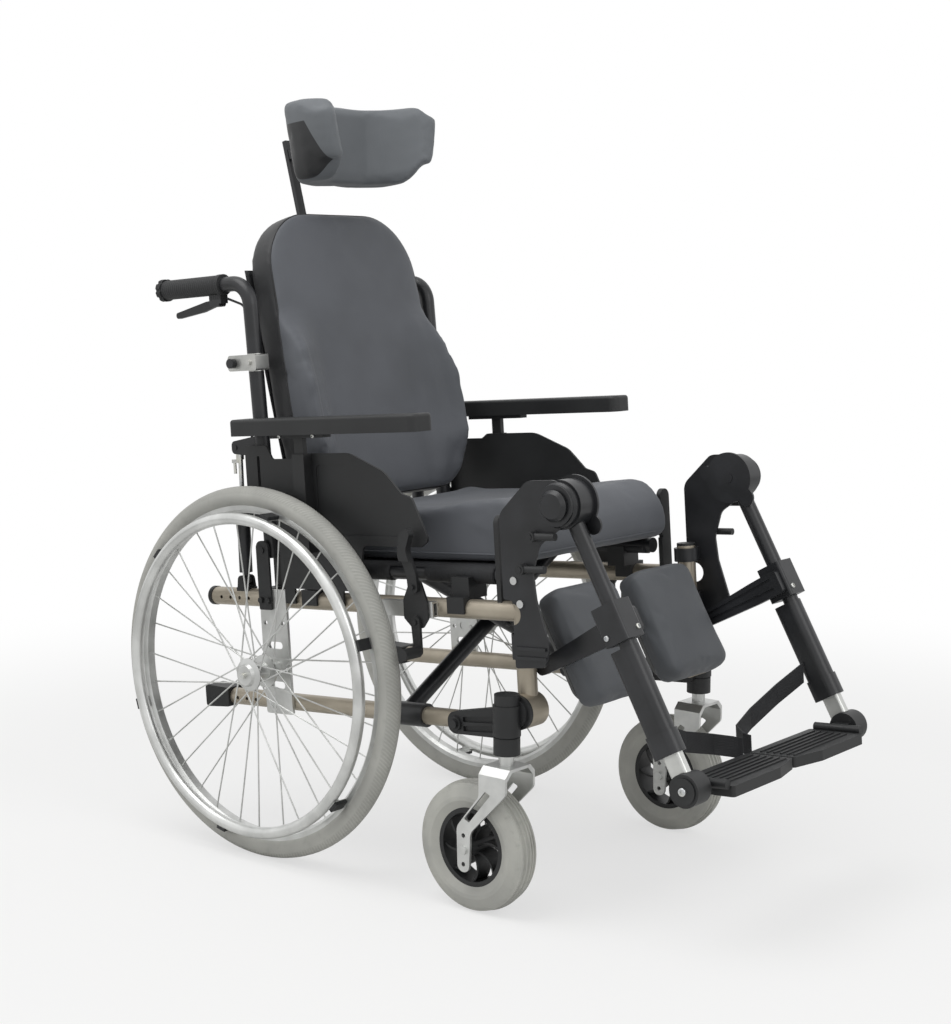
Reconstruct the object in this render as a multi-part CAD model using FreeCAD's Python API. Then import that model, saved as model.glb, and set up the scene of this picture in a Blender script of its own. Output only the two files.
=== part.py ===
import FreeCAD, Part
import os
from math import cos, pi, radians, sin, tan

V = FreeCAD.Vector

# Folding wheelchair with a reclining back. Millimetres, Z up, the sitter faces -Y.
# Drawn with the floor at Z 0, the middle plane at X 0 and the rear axle at Y 0, then moved
# along Y so that the origin lies on the floor in the middle of the chair's length.
# The right side (-X) is modelled and mirrored for the left.
# Frame pieces are drawn with level rails, then tipped nose-up about the rear axle.

# driving dimensions
FRAME_RISE = 4.2          # degrees that the rails climb towards the front
CENTRE_Y = 268.4          # rear axle to the middle of the chair's length
SIDE_X = 222.0            # side frame tubes from the middle plane
TUBE_R = 15.0             # side frame tube radius
TUBE_WALL = 2.0
RAIL_Z = 418.0            # upper rail axis
LOWER_Z = 247.0           # lower rail axis
LOWER_R = 14.0
RAIL_BACK_Y = 152.0
LOWER_BACK_Y = 168.0
LOWER_FRONT_Y = -402.0
POST_Y = -506.0           # front post axis
POST_TOP_Z = 466.0
DRUM_R = 26.0             # round end at the foot of the front post
DRUM_Z = 272.0
CAP_LEN = 8.0
FIT = 0.3                 # clearance between pieces that slide or turn
PIN_FIT = 0.06            # clearance of pins in their bores

WHEEL_R = 305.0           # rear wheel with tyre
WHEEL_X = 285.0           # tyre middle from the middle plane
TYRE_R = 17.5
RIM_OUT_R = 277.0
RIM_DEPTH = 15.0
RIM_WIDTH = 24.0
HANDRIM_R = 256.0
HANDRIM_TUBE_R = 9.5
HANDRIM_OFFSET = 35.5
HANDRIM_MOUNTS = 6
SPOKES = 32
SPOKE_R = 1.3
HUB_R = 16.0
FLANGE_R = 27.0
HUB_IN = 20.0             # hub reach inboard of the tyre middle
HUB_OUT = 31.0
AXLE_R = 6.5

CASTER_R = 100.0
CASTER_WIDTH = 50.0
CASTER_X = 262.0
STEM_Y = -497.0
TRAIL = 54.0
FORK_TOP_Z = 232.0
FORK_T = 4.5
FORK_GAP = 6.0            # between tyre side and fork leg
HOUSING_R = 21.0
HOUSING_TOP_Z = 338.0

SEAT_TUBE_X = 200.0
SEAT_TUBE_Z = 468.0
SEAT_TUBE_R = 12.5
SEAT_FRONT_Y = -456.0
SEAT_BACK_Y = -20.0
BRACE_R = 13.0
BRACE_Y = -275.0          # middle of the cross brace along the rails
BRACE_GAP = 3.0           # between the two crossing tubes
SLEEVE_LEN = 62.0

CANE_R = 12.5
CANE_Y = 18.0
PIVOT_Z = 500.0           # recline axis
CANE_TOP_Z = 939.0
CANE_BEND = 38.0
GRIP_START_Y = 96.0
GRIP_END_Y = 236.0
GRIP_R = 16.5
CLAMP_Z = 808.0
HEAD_BAR_Y = 60.0
HEAD_BAR_R = 8.0
BAR_FOOT_X = 34.0         # feet of the head bar on the back, between the folded canes
GAS_LOW_Y = 80.0
GAS_LOW_Z = 446.0
GAS_TOP_Y = 74.0
GAS_TOP_Z = 669.0
GAS_R = 11.0
GAS_ROD_R = 4.0

ARM_X = 260.5
ARM_PAD_W = 48.0
ARM_PAD_T = 27.0
ARM_PAD_Z = 690.0         # underside of the pad
ARM_BACK_Y = 32.0
ARM_FRONT_Y = -368.0
ARM_POST_Y = -97.0
PANEL_X = 238.0           # inboard face of the side panel
PANEL_T = 4.0

LEG_X = 229.0
KNEE_Y = -602.0
KNEE_Z = 579.0
LEG_RAKE = 25.2           # degrees of the leg tube from square to the rails
LEG_LEN = 437.0           # knee axis to footplate pivot
LEG_R = 12.5
KNEE_R = 36.0
PLATE_X = 246.0           # inboard face of the hanger plate
PLATE_T = 4.0
RAIL_RELIEF = 1.2         # round notch in the hanger plate, which clears the rail when it swings out
SLEEVE_W = 30.0           # leg sleeve across, along X
SLEEVE_D = 44.0           # leg sleeve front to back
FOOT_TUBE_W = 16.0
FOOT_TUBE_D = 30.0
FOOT_T = 16.0
FOOT_DEPTH = 92.0
FOOT_GAP = 4.0
FLIP_X = 196.0            # footplate hinge line

BACK_LEAN = 10.8          # degrees of the back cushion from square to the rails
BACK_FOOT_Y = -66.0       # cushion front face at its lower edge
BACK_FOOT_Z = 566.0
BACK_LEN = 508.0
BACK_HALF_W = 198.0
BACK_T = 60.0
HEAD_Z = 1168.0
HEAD_H = 138.0
HEAD_HALF_W = 143.0

CUSHION_TOP_Z = 580.0
CUSHION_FRONT_Y = -500.0
CUSHION_BACK_Y = -68.0
CUSHION_HALF_W = 196.0
SLING_T = 3.0

os.makedirs("parts", exist_ok=True)


def box(x0, x1, y0, y1, z0, z1):
    low = V(min(x0, x1), min(y0, y1), min(z0, z1))
    return Part.makeBox(abs(x1 - x0), abs(y1 - y0), abs(z1 - z0), low)


def rod(start, end, radius):
    a, b = V(*start), V(*end)
    return Part.makeCylinder(radius, (b - a).Length, a, b - a)


def rod_x(x0, x1, y, z, radius):
    return rod((x0, y, z), (x1, y, z), radius)


def fuse(*shapes):
    whole = shapes[0].multiFuse(list(shapes[1:])) if len(shapes) > 1 else shapes[0]
    return whole.removeSplitter()


def rounded_wire(points):
    """Closed wire through (vector, corner radius) pairs."""
    edges, ends = [], []
    count = len(points)
    for i, (corner, radius) in enumerate(points):
        back = (points[i - 1][0] - corner).normalize()
        ahead = (points[(i + 1) % count][0] - corner).normalize()
        if radius == 0:
            ends.append((corner, corner, None))
            continue
        half = back.getAngle(ahead) / 2
        reach = radius / tan(half)
        middle = (back + ahead).normalize() * (radius / sin(half) - radius)
        ends.append((corner + back * reach, corner + ahead * reach, corner + middle))
    for i, (first, last, middle) in enumerate(ends):
        if middle is not None:
            edges.append(Part.Arc(first, middle, last).toShape())
        following = ends[(i + 1) % count][0]
        if (following - last).Length > 1e-6:
            edges.append(Part.LineSegment(last, following).toShape())
    return Part.Wire(edges)


def plate_x(outline, x0, x1):
    """Prism along X from (y, z, corner radius) points."""
    wire = rounded_wire([(V(x0, y, z), r) for y, z, r in outline])
    return Part.Face(wire).extrude(V(x1 - x0, 0, 0))


def plate_z(outline, z0, z1):
    wire = rounded_wire([(V(x, y, z0), r) for x, y, r in outline])
    return Part.Face(wire).extrude(V(0, 0, z1 - z0))


def pipe(points, radius, bend):
    """Round bar along a polyline whose corners are arcs of one radius."""
    path = [V(*p) for p in points]
    edges, at = [], path[0]
    for i in range(1, len(path) - 1):
        back = (path[i - 1] - path[i]).normalize()
        ahead = (path[i + 1] - path[i]).normalize()
        half = back.getAngle(ahead) / 2
        reach = bend / tan(half)
        first, last = path[i] + back * reach, path[i] + ahead * reach
        middle = path[i] + (back + ahead).normalize() * (bend / sin(half) - bend)
        edges.append(Part.LineSegment(at, first).toShape())
        edges.append(Part.Arc(first, middle, last).toShape())
        at = last
    edges.append(Part.LineSegment(at, path[-1]).toShape())
    ring = Part.Wire(Part.Circle(path[0], path[1] - path[0], radius).toShape())
    return Part.Wire(edges).makePipeShell([ring], True, False)


def revolve_x(profile, y, z, angle=360):
    """Solid of revolution about the X line through (y, z), from (x, radius) points."""
    corners = [V(x, y, z + r) for x, r in profile]
    face = Part.Face(Part.makePolygon(corners + corners[:1]))
    return face.revolve(V(0, y, z), V(1, 0, 0), angle)


def tip(shape):
    turned = shape.copy()
    turned.rotate(V(0, 0, WHEEL_R), V(1, 0, 0), -FRAME_RISE)
    return turned


def save(name, shape):
    solids = shape.Solids
    bad = [s for s in solids if not s.isValid() or s.Volume <= 0]
    print(name, "solids", len(solids), "volume", round(shape.Volume / 1000, 1), "bad", len(bad))
    whole = Part.makeCompound(solids) if len(solids) > 1 else solids[0].copy()
    whole.translate(V(0, CENTRE_Y, 0))
    whole.exportStep("parts/" + name + ".step")


def save_pair(name, right):
    save(name + "_r", right)
    save(name + "_l", right.mirror(V(0, 0, 0), V(1, 0, 0)))


def leg_point(along, back=0.0, x=-LEG_X):
    """Point beside the leg axis: down the leg from the knee, then to its rear."""
    rake = radians(LEG_RAKE)
    return (x, KNEE_Y - along * sin(rake) + back * cos(rake),
            KNEE_Z - along * cos(rake) - back * sin(rake))


def rake_leg(shape):
    """Turn a shape drawn hanging straight down from the knee onto the leg line."""
    shape.rotate(V(0, KNEE_Y, KNEE_Z), V(1, 0, 0), -LEG_RAKE)
    return shape


# side frame: two rails, the front post and its round foot
def side_frame():
    inner = TUBE_R - TUBE_WALL
    post_foot = (-SIDE_X, POST_Y, DRUM_Z)
    outer = fuse(rod((-SIDE_X, RAIL_BACK_Y, RAIL_Z), (-SIDE_X, POST_Y, RAIL_Z), TUBE_R),
                 rod(post_foot, (-SIDE_X, POST_Y, POST_TOP_Z), TUBE_R),
                 rod_x(-SIDE_X + TUBE_R, -SIDE_X - TUBE_R - CAP_LEN, POST_Y, DRUM_Z, DRUM_R))
    hollow = rod((-SIDE_X, RAIL_BACK_Y, RAIL_Z), (-SIDE_X, POST_Y, RAIL_Z), inner)
    post_hollow = rod((-SIDE_X, POST_Y, DRUM_Z + DRUM_R), (-SIDE_X, POST_Y, POST_TOP_Z), inner)
    upper = outer.cut(hollow).cut(post_hollow)
    lower = rod((-SIDE_X, LOWER_BACK_Y, LOWER_Z), (-SIDE_X, LOWER_FRONT_Y, LOWER_Z), LOWER_R)
    bore = rod((-SIDE_X, LOWER_BACK_Y, LOWER_Z), (-SIDE_X, LOWER_FRONT_Y, LOWER_Z), LOWER_R - TUBE_WALL)
    lower = lower.cut(bore)
    hole_r, pitch, first = 3.0, 22.0, 24.0
    for i in range(4):
        y = RAIL_BACK_Y - first - i * pitch
        upper = upper.cut(rod_x(-SIDE_X, -SIDE_X - 2 * TUBE_R, y, RAIL_Z, hole_r))
        lower = lower.cut(rod_x(-SIDE_X, -SIDE_X - 2 * TUBE_R, y, LOWER_Z, hole_r))
    save_pair("side_frame", tip(Part.makeCompound([upper, lower])))


# black fittings that are fixed on the side frame
def rail_fittings():
    cap = fuse(rod((-SIDE_X, RAIL_BACK_Y, RAIL_Z), (-SIDE_X, RAIL_BACK_Y + CAP_LEN, RAIL_Z), TUBE_R + 1),
               rod((-SIDE_X, RAIL_BACK_Y - 2 * CAP_LEN, RAIL_Z),
                   (-SIDE_X, RAIL_BACK_Y, RAIL_Z), TUBE_R - TUBE_WALL))
    post_cap = fuse(rod((-SIDE_X, POST_Y, POST_TOP_Z), (-SIDE_X, POST_Y, POST_TOP_Z + 4), TUBE_R),
                    rod((-SIDE_X, POST_Y, POST_TOP_Z - 2 * CAP_LEN),
                        (-SIDE_X, POST_Y, POST_TOP_Z), TUBE_R - TUBE_WALL))
    step_half, step_len = LOWER_R + 5, 44.0
    step = plate_x([(LOWER_BACK_Y + 12, LOWER_Z - step_half, 6), (LOWER_BACK_Y + 12, LOWER_Z + step_half, 6),
                    (LOWER_BACK_Y - step_len, LOWER_Z + step_half - 3, 3),
                    (LOWER_BACK_Y - step_len, LOWER_Z - step_half + 3, 3)],
                   -SIDE_X - step_half + 1, -SIDE_X + step_half - 1)
    step = step.cut(rod((-SIDE_X, LOWER_BACK_Y - step_len - 1, LOWER_Z),
                        (-SIDE_X, LOWER_BACK_Y, LOWER_Z), LOWER_R))
    level = [cap, post_cap, step, ratchet_bracket(), brake_base()] + recline_mount()
    for y in (SEAT_FRONT_Y + 66, SEAT_BACK_Y - 62):
        level.append(saddle(y))
    fittings = [tip(solid) for solid in level]
    save_pair("rail_fittings", Part.makeCompound(fittings + [caster_head()]))


def saddle(y):
    """Clip on the upper rail whose open cradle takes the seat tube."""
    half_len, wall = 17.0, 4.0
    seat_seat = SEAT_TUBE_R + 1.3 + FIT
    out = -SIDE_X - TUBE_R - wall
    clip = plate_z([(out, y - half_len, 2), (out, y + half_len, 2),
                    (-SIDE_X + TUBE_R + wall, y + half_len, 2), (-SIDE_X + TUBE_R + wall, y - half_len, 2)],
                   RAIL_Z - 6, RAIL_Z + TUBE_R + wall)
    cradle = box(-SIDE_X - 4, -SEAT_TUBE_X + SEAT_TUBE_R + 4, y - half_len, y + half_len,
                 RAIL_Z + TUBE_R, SEAT_TUBE_Z - 2)
    whole = fuse(clip, cradle)
    whole = whole.cut(rod((-SIDE_X, y - 2 * half_len, RAIL_Z), (-SIDE_X, y + 2 * half_len, RAIL_Z), TUBE_R))
    below = box(-SIDE_X - TUBE_R, -SIDE_X + TUBE_R, y - 2 * half_len, y + 2 * half_len, RAIL_Z - 10, RAIL_Z)
    trough = rod((-SEAT_TUBE_X, y - 2 * half_len, SEAT_TUBE_Z),
                 (-SEAT_TUBE_X, y + 2 * half_len, SEAT_TUBE_Z), seat_seat)
    return whole.cut(below).cut(trough)


def ratchet_bracket():
    """Toothed upright beside the front end of the seat tube."""
    y0, y1 = SEAT_FRONT_Y - 8, SEAT_FRONT_Y - 16
    x_in, x_out = -SIDE_X + 18, -SIDE_X - 8
    top = 560.0
    foot_z = RAIL_Z + TUBE_R
    blade = fuse(box(x_in, x_out, y0, y1, foot_z - 6, top - 12),
                 rod(((x_in + x_out) / 2, y0, top - 12), ((x_in + x_out) / 2, y1, top - 12),
                     (x_in - x_out) / 2))
    teeth = [box(x_in - 3, x_in + 1, y0 + 1, y1 - 1, z, z + 4) for z in range(480, 540, 9)]
    for tooth in teeth:
        blade = blade.cut(tooth)
    blade = blade.cut(rod((-SIDE_X, y0 + 1, RAIL_Z), (-SIDE_X, y1 - 1, RAIL_Z), TUBE_R))
    knob = rod_x(x_in - 2, x_in + 7, (y0 + y1) / 2, 516, 4)
    return fuse(blade, knob)


# head of the caster: clamp arm, housing tube and the domed cover on the post foot
def caster_head():
    stem_top, stem_low = HOUSING_TOP_Z, FORK_TOP_Z + 16
    tube = fuse(rod((-CASTER_X, STEM_Y, stem_low), (-CASTER_X, STEM_Y, stem_low + 26), HOUSING_R - 1),
                rod((-CASTER_X, STEM_Y, stem_low + 28), (-CASTER_X, STEM_Y, stem_top - 16), HOUSING_R),
                rod((-CASTER_X, STEM_Y, stem_low + 25), (-CASTER_X, STEM_Y, stem_low + 29), HOUSING_R - 3),
                rod((-CASTER_X, STEM_Y, stem_top - 16), (-CASTER_X, STEM_Y, stem_top), HOUSING_R - 2))
    drum_face = -SIDE_X - TUBE_R - CAP_LEN
    dome = tip(fuse(rod_x(drum_face, drum_face - 7, POST_Y, DRUM_Z, DRUM_R),
                    rod_x(drum_face - 7, drum_face - 12, POST_Y, DRUM_Z, DRUM_R - 5)))
    arm_x0, arm_x1 = -SIDE_X - LOWER_R, -CASTER_X - 6
    bolt_y = LOWER_FRONT_Y + 14
    mid_z = (stem_low + stem_top) / 2 - 42
    arm = tip(plate_x([(bolt_y + 16, LOWER_Z - 16, 15), (bolt_y + 16, LOWER_Z + 16, 15),
                       (STEM_Y, mid_z + 30, 8), (STEM_Y, mid_z - 20, 8)], arm_x0, arm_x1 + 16))
    pocket_x = arm_x1 + 20
    for shift in (-7, 7):
        slot = tip(plate_x([(bolt_y - 14, LOWER_Z + shift - 4, 2), (bolt_y - 14, LOWER_Z + shift + 4, 2),
                            (STEM_Y + 30, LOWER_Z + shift + 9, 2), (STEM_Y + 30, LOWER_Z + shift - 1, 2)],
                           pocket_x, arm_x1 - 2))
        arm = arm.cut(slot)
    bolt = tip(fuse(rod_x(arm_x1 + 16, arm_x1 + 12, bolt_y, LOWER_Z, 11),
                    rod_x(arm_x1 + 12, arm_x1 + 7, bolt_y, LOWER_Z, 7)))
    whole = fuse(tube, dome, arm, bolt)
    bore = rod((-CASTER_X, STEM_Y, stem_low - 1), (-CASTER_X, STEM_Y, stem_top - 12), 6.0 + PIN_FIT)
    clear_frame = tip(fuse(rod((-SIDE_X, LOWER_FRONT_Y + 60, LOWER_Z),
                               (-SIDE_X, LOWER_FRONT_Y, LOWER_Z), LOWER_R),
                           rod_x(-SIDE_X + TUBE_R, drum_face, POST_Y, DRUM_Z, DRUM_R),
                           rod((-SIDE_X, POST_Y, DRUM_Z), (-SIDE_X, POST_Y, POST_TOP_Z), TUBE_R)))
    return whole.cut(bore).cut(clear_frame)


# aluminium axle plate, its clamp on the rail and the accessory bar for the brake
def axle_plate():
    x0, x1 = -SIDE_X - TUBE_R, -SIDE_X - TUBE_R - 5
    half = 30.0
    plate = plate_x([(half, LOWER_Z - 18, 4), (half, RAIL_Z + 18, 4), (-half, RAIL_Z + 18, 4),
                     (-half, LOWER_Z - 18, 4)], x0, x1)
    for z in (LOWER_Z + 30, WHEEL_R + 38):
        plate = plate.cut(plate_x([(-16, z - 6, 5.9), (-16, z + 6, 5.9), (16, z + 6, 5.9), (16, z - 6, 5.9)],
                                  x0 + 1, x1 - 1))
    for y in (-20, 20):
        for z in (WHEEL_R - 2, RAIL_Z - 38):
            plate = plate.cut(rod_x(x0 + 1, x1 - 1, y, z, 4))
    barrel = rod_x(x1, -WHEEL_X + HUB_IN + FIT, 0, WHEEL_R, 13)
    plate = fuse(plate, barrel).cut(rod_x(x0 + 1, -WHEEL_X, 0, WHEEL_R, AXLE_R + PIN_FIT))
    bar_x0, bar_x1 = -SIDE_X - TUBE_R, -SIDE_X - TUBE_R - 13
    bar_y0, bar_y1, half_z = BRACE_Y + 28, BRACE_Y - 78, 12.0
    bar = box(bar_x0, bar_x1, bar_y0, bar_y1, RAIL_Z - half_z, RAIL_Z + half_z)
    bar = bar.cut(box(bar_x0 - 3, bar_x1 + 3, bar_y0 + 1, bar_y1 - 1, RAIL_Z - half_z + 3, RAIL_Z + half_z - 3))
    save_pair("axle_plate", Part.makeCompound([tip(plate), tip(bar)]))


# side panel below the armrest, with its moulded recess and the socket of the post
def side_panel():
    x0, x1 = -PANEL_X, -PANEL_X - PANEL_T
    low = RAIL_Z + TUBE_R + 6
    top = 672.0
    panel = plate_x([(-24, low, 6), (-24, 548, 8), (42, 548, 8), (42, top, 4), (-8, top, 4),
                     (-20, top - 22, 6), (-70, top - 22, 6), (-82, top - 14, 6), (-190, top - 14, 60),
                     (-262, 628, 40), (-296, 594, 12), (-316, 588, 12), (-346, 522, 8), (-330, 512, 6),
                     (-210, 512, 10), (-196, low, 10)], x0, x1)
    rim = plate_x([(-118, 528, 8), (-118, 640, 8), (-180, 640, 40), (-252, 604, 30), (-286, 574, 10),
                   (-306, 528, 12)], x1 + 1.5, x1 - 1)
    recess = panel.cut(rim)
    slot = plate_x([(15, 560, 2.4), (15, 655, 2.4), (9, 655, 2.4), (9, 560, 2.4)], x0 + 1, x1 - 1)
    recess = recess.cut(slot)
    half_y, half_x = 13.0, 8.0
    socket_mid = -ARM_X + 8
    socket = box(x1, socket_mid - half_x, ARM_POST_Y - half_y, ARM_POST_Y + half_y, 500, top - 14)
    bore = box(socket_mid - half_x + 3, socket_mid + half_x - 3, ARM_POST_Y - half_y + 3,
               ARM_POST_Y + half_y - 3, 480, top)
    whole = fuse(recess, socket).cut(bore)
    feet = []
    for y in (-42, -150):
        feet.append(box(x0, x1, y - 11, y + 11, RAIL_Z - 4, low + 10))
    whole = fuse(whole, *feet)
    whole = whole.cut(rod((-SIDE_X, RAIL_BACK_Y, RAIL_Z), (-SIDE_X, POST_Y, RAIL_Z), TUBE_R))
    save_pair("side_panel", tip(whole))


# armrest: pad with its end cap, and the post that slides in the panel socket
def armrest():
    socket_mid = -ARM_X + 8
    post_half_x, post_half_y = 5.0 - FIT, 10.0 - FIT
    post = box(socket_mid - post_half_x, socket_mid + post_half_x, ARM_POST_Y - post_half_y,
               ARM_POST_Y + post_half_y, 512, ARM_PAD_Z)
    head = box(socket_mid - 9, socket_mid + 9, ARM_POST_Y - 60, ARM_POST_Y + 60, ARM_PAD_Z - 6, ARM_PAD_Z)
    post = fuse(post, head)
    half = ARM_PAD_W / 2
    pad = plate_z([(-ARM_X - half, ARM_FRONT_Y, 14), (-ARM_X - half, ARM_BACK_Y, 8),
                   (-ARM_X + half, ARM_BACK_Y, 8), (-ARM_X + half, ARM_FRONT_Y, 14)],
                  ARM_PAD_Z, ARM_PAD_Z + ARM_PAD_T)
    edges = [e for e in pad.Edges if e.BoundBox.ZMin > ARM_PAD_Z + ARM_PAD_T - 1]
    pad = pad.makeFillet(5, edges)
    save_pair("armrest", tip(Part.makeCompound([post, pad])))


# rear wheel
def rear_wheel():
    x = -WHEEL_X
    mid_r = WHEEL_R - TYRE_R
    ring = Part.Circle(V(x, 0, WHEEL_R + mid_r), V(0, 1, 0), TYRE_R)
    tyre = Part.Face(Part.Wire(ring.toShape())).revolve(V(0, 0, WHEEL_R), V(1, 0, 0), 360)
    half = RIM_WIDTH / 2
    inner_r = RIM_OUT_R - RIM_DEPTH
    rim_profile = [(x - half, RIM_OUT_R), (x - half, inner_r + 5), (x - half + 5, inner_r),
                   (x + half - 5, inner_r), (x + half, inner_r + 5), (x + half, RIM_OUT_R),
                   (x + half - 3, RIM_OUT_R), (x + half - 3, RIM_OUT_R - 5), (x - half + 3, RIM_OUT_R - 5),
                   (x - half + 3, RIM_OUT_R)]
    rim = revolve_x(rim_profile, 0, WHEEL_R)
    seat = revolve_x([(x - half, inner_r), (x - half, RIM_OUT_R), (x + half, RIM_OUT_R),
                      (x + half, inner_r)], 0, WHEEL_R)
    bead = revolve_x([(x - half + 3, RIM_OUT_R - 5), (x - half + 3, RIM_OUT_R + 2),
                      (x + half - 3, RIM_OUT_R + 2), (x + half - 3, RIM_OUT_R - 5)], 0, WHEEL_R)
    save_pair("wheel_tyre", fuse(tyre.cut(seat), bead))

    hub_in, hub_out = x + HUB_IN, x - HUB_OUT
    hub = revolve_x([(hub_in, AXLE_R), (hub_in, 14), (hub_in - 4, FLANGE_R), (hub_in - 7, FLANGE_R),
                     (hub_in - 9, HUB_R), (x - 17, HUB_R), (x - 19, FLANGE_R), (x - 22, FLANGE_R),
                     (x - 26, HUB_R + 3), (hub_out, HUB_R), (hub_out, AXLE_R)], 0, WHEEL_R)
    axle = rod_x(-SIDE_X - TUBE_R - 1, hub_out, 0, WHEEL_R, AXLE_R)
    axle = axle.cut(rod_x(hub_out - 1, hub_out + 16, 0, WHEEL_R, 5))
    spokes = []
    for i in range(SPOKES):
        outboard = i % 2 == 0
        lean = 1 if (i // 2) % 2 == 0 else -1
        turn = 2 * pi * i / SPOKES
        start_x = x - 20.5 if outboard else hub_in - 5.5
        a, b = turn, turn + lean * radians(52)
        near = V(start_x, (FLANGE_R - 3) * sin(b), WHEEL_R + (FLANGE_R - 3) * cos(b))
        far = V(x - 3 if outboard else x + 3, (inner_r + 1) * sin(a), WHEEL_R + (inner_r + 1) * cos(a))
        section = Part.makePolygon([near + p for p in spoke_corners(far - near)])
        spokes.append(Part.Face(section).extrude(far - near))
    save_pair("wheel_rim", fuse(rim, hub, axle, *spokes))

    hand_x = x - HANDRIM_OFFSET
    hoop = Part.makeTorus(HANDRIM_R, HANDRIM_TUBE_R, V(hand_x, 0, WHEEL_R), V(1, 0, 0))
    mounts = []
    for i in range(HANDRIM_MOUNTS):
        foot = box(x - half, hand_x, -9, 9, WHEEL_R + inner_r + 3, WHEEL_R + inner_r + 10)
        toe = box(hand_x - 2, hand_x + 8, -9, 9, WHEEL_R + HANDRIM_R, WHEEL_R + inner_r + 10)
        mount = fuse(foot, toe)
        mount.rotate(V(0, 0, WHEEL_R), V(1, 0, 0), 360 * (i + 0.2) / HANDRIM_MOUNTS)
        mounts.append(mount.cut(hoop))
    save_pair("handrim", Part.makeCompound([hoop] + mounts))

    button = fuse(rod_x(hub_out + 11, hub_out - 4, 0, WHEEL_R, 5 - PIN_FIT),
                  rod_x(hub_out - 4, hub_out - 6, 0, WHEEL_R, 4))
    save_pair("axle_button", button)


def spoke_corners(direction):
    """Hexagon square to a direction, closed."""
    side = direction.cross(V(1, 0, 0)).normalize()
    up = direction.cross(side).normalize()
    turns = [2 * pi * k / 6 for k in range(7)]
    return [side * (SPOKE_R * cos(t)) + up * (SPOKE_R * sin(t)) for t in turns]


# caster: fork of bent strap, ribbed tyre and vaned hub
def caster():
    axle_y = STEM_Y + TRAIL
    inner = CASTER_WIDTH / 2 + FORK_GAP
    outer = inner + FORK_T
    top = FORK_TOP_Z
    side = [(STEM_Y - 25, top, 0), (STEM_Y + 25, top, 0), (STEM_Y + 25, top - 46, 12),
            (axle_y + 13, CASTER_R + 34, 20), (axle_y + 11, CASTER_R - 34, 10.9),
            (axle_y - 11, CASTER_R - 34, 10.9), (axle_y - 13, CASTER_R + 28, 20), (STEM_Y - 25, top - 36, 12)]
    fork = plate_x(side, -CASTER_X - outer, -CASTER_X + outer)
    chamfer = 12.0
    gap = plate_y([(-CASTER_X - inner, CASTER_R - 60), (-CASTER_X - inner, top - FORK_T - chamfer),
                   (-CASTER_X - inner + chamfer, top - FORK_T), (-CASTER_X + inner - chamfer, top - FORK_T),
                   (-CASTER_X + inner, top - FORK_T - chamfer), (-CASTER_X + inner, CASTER_R - 60)],
                  STEM_Y - 60, axle_y + 60)
    fork = fork.cut(gap)
    for s in (-1, 1):
        corner = plate_y([(-CASTER_X + s * (outer + 1), top + 1), (-CASTER_X + s * (outer - chamfer), top + 1),
                          (-CASTER_X + s * (outer + 1), top - chamfer)], STEM_Y - 60, axle_y + 60)
        fork = fork.cut(corner)
    slot_a, slot_b = (STEM_Y + 8, top - 40), (axle_y - 6, CASTER_R + 44)
    slot = plate_x([(slot_a[0] - 5, slot_a[1], 2), (slot_a[0] + 5, slot_a[1] + 4, 2),
                    (slot_b[0] + 5, slot_b[1] + 4, 2), (slot_b[0] - 5, slot_b[1], 2)],
                   -CASTER_X - outer - 1, -CASTER_X + outer + 1)
    fork = fork.cut(slot)
    for z in (CASTER_R + 22, CASTER_R - 22):
        fork = fork.cut(rod_x(-CASTER_X - outer - 1, -CASTER_X + outer + 1, axle_y, z, 3.5))
    stem = rod((-CASTER_X, STEM_Y, top - FORK_T), (-CASTER_X, STEM_Y, HOUSING_TOP_Z - 13), 6.0)
    collar = rod((-CASTER_X, STEM_Y, top), (-CASTER_X, STEM_Y, top + 16 - FIT), 11)
    axle = fuse(rod_x(-CASTER_X - outer - 4, -CASTER_X + outer + 4, axle_y, CASTER_R, 4),
                rod_x(-CASTER_X - outer, -CASTER_X - outer - 4, axle_y, CASTER_R, 7),
                rod_x(-CASTER_X + outer, -CASTER_X + outer + 4, axle_y, CASTER_R, 7))
    save_pair("caster_fork", fuse(fork, stem, collar, axle))

    x, half, rib = -CASTER_X, CASTER_WIDTH / 2, 4.0
    hub_r = 60.0
    profile = [(x - half + 6, hub_r), (x - half, hub_r + 12), (x - half, CASTER_R - 22),
               (x - half + 5, CASTER_R - 9)]
    for k in range(-2, 3):
        crown = CASTER_R - 1.5 * abs(k)
        profile += [(x + k * 7.5 - rib / 2 - 0.6, crown - 2.5), (x + k * 7.5 - rib / 2 + 0.4, crown),
                    (x + k * 7.5 + rib / 2 - 0.4, crown), (x + k * 7.5 + rib / 2 + 0.6, crown - 2.5)]
    profile += [(x + half - 5, CASTER_R - 9), (x + half, CASTER_R - 22), (x + half, hub_r + 12),
                (x + half - 6, hub_r)]
    tyre = revolve_x(profile, axle_y, CASTER_R)
    ring = revolve_x([(x - half + 6, hub_r - 7), (x - half + 6, hub_r), (x + half - 6, hub_r),
                      (x + half - 6, hub_r - 7)], axle_y, CASTER_R)
    boss = revolve_x([(x - half - 4, 4 + PIN_FIT), (x - half - 4, 13), (x + half + 4, 13),
                      (x + half + 4, 4 + PIN_FIT)], axle_y, CASTER_R)
    vanes = []
    for i in range(8):
        vane = curved_vane(x, axle_y, hub_r)
        vane.rotate(V(x, axle_y, CASTER_R), V(1, 0, 0), 45 * i)
        vanes.append(vane)
    hub = fuse(ring, boss, *vanes)
    save_pair("caster_wheel", Part.makeCompound([tyre, hub]))


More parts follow.
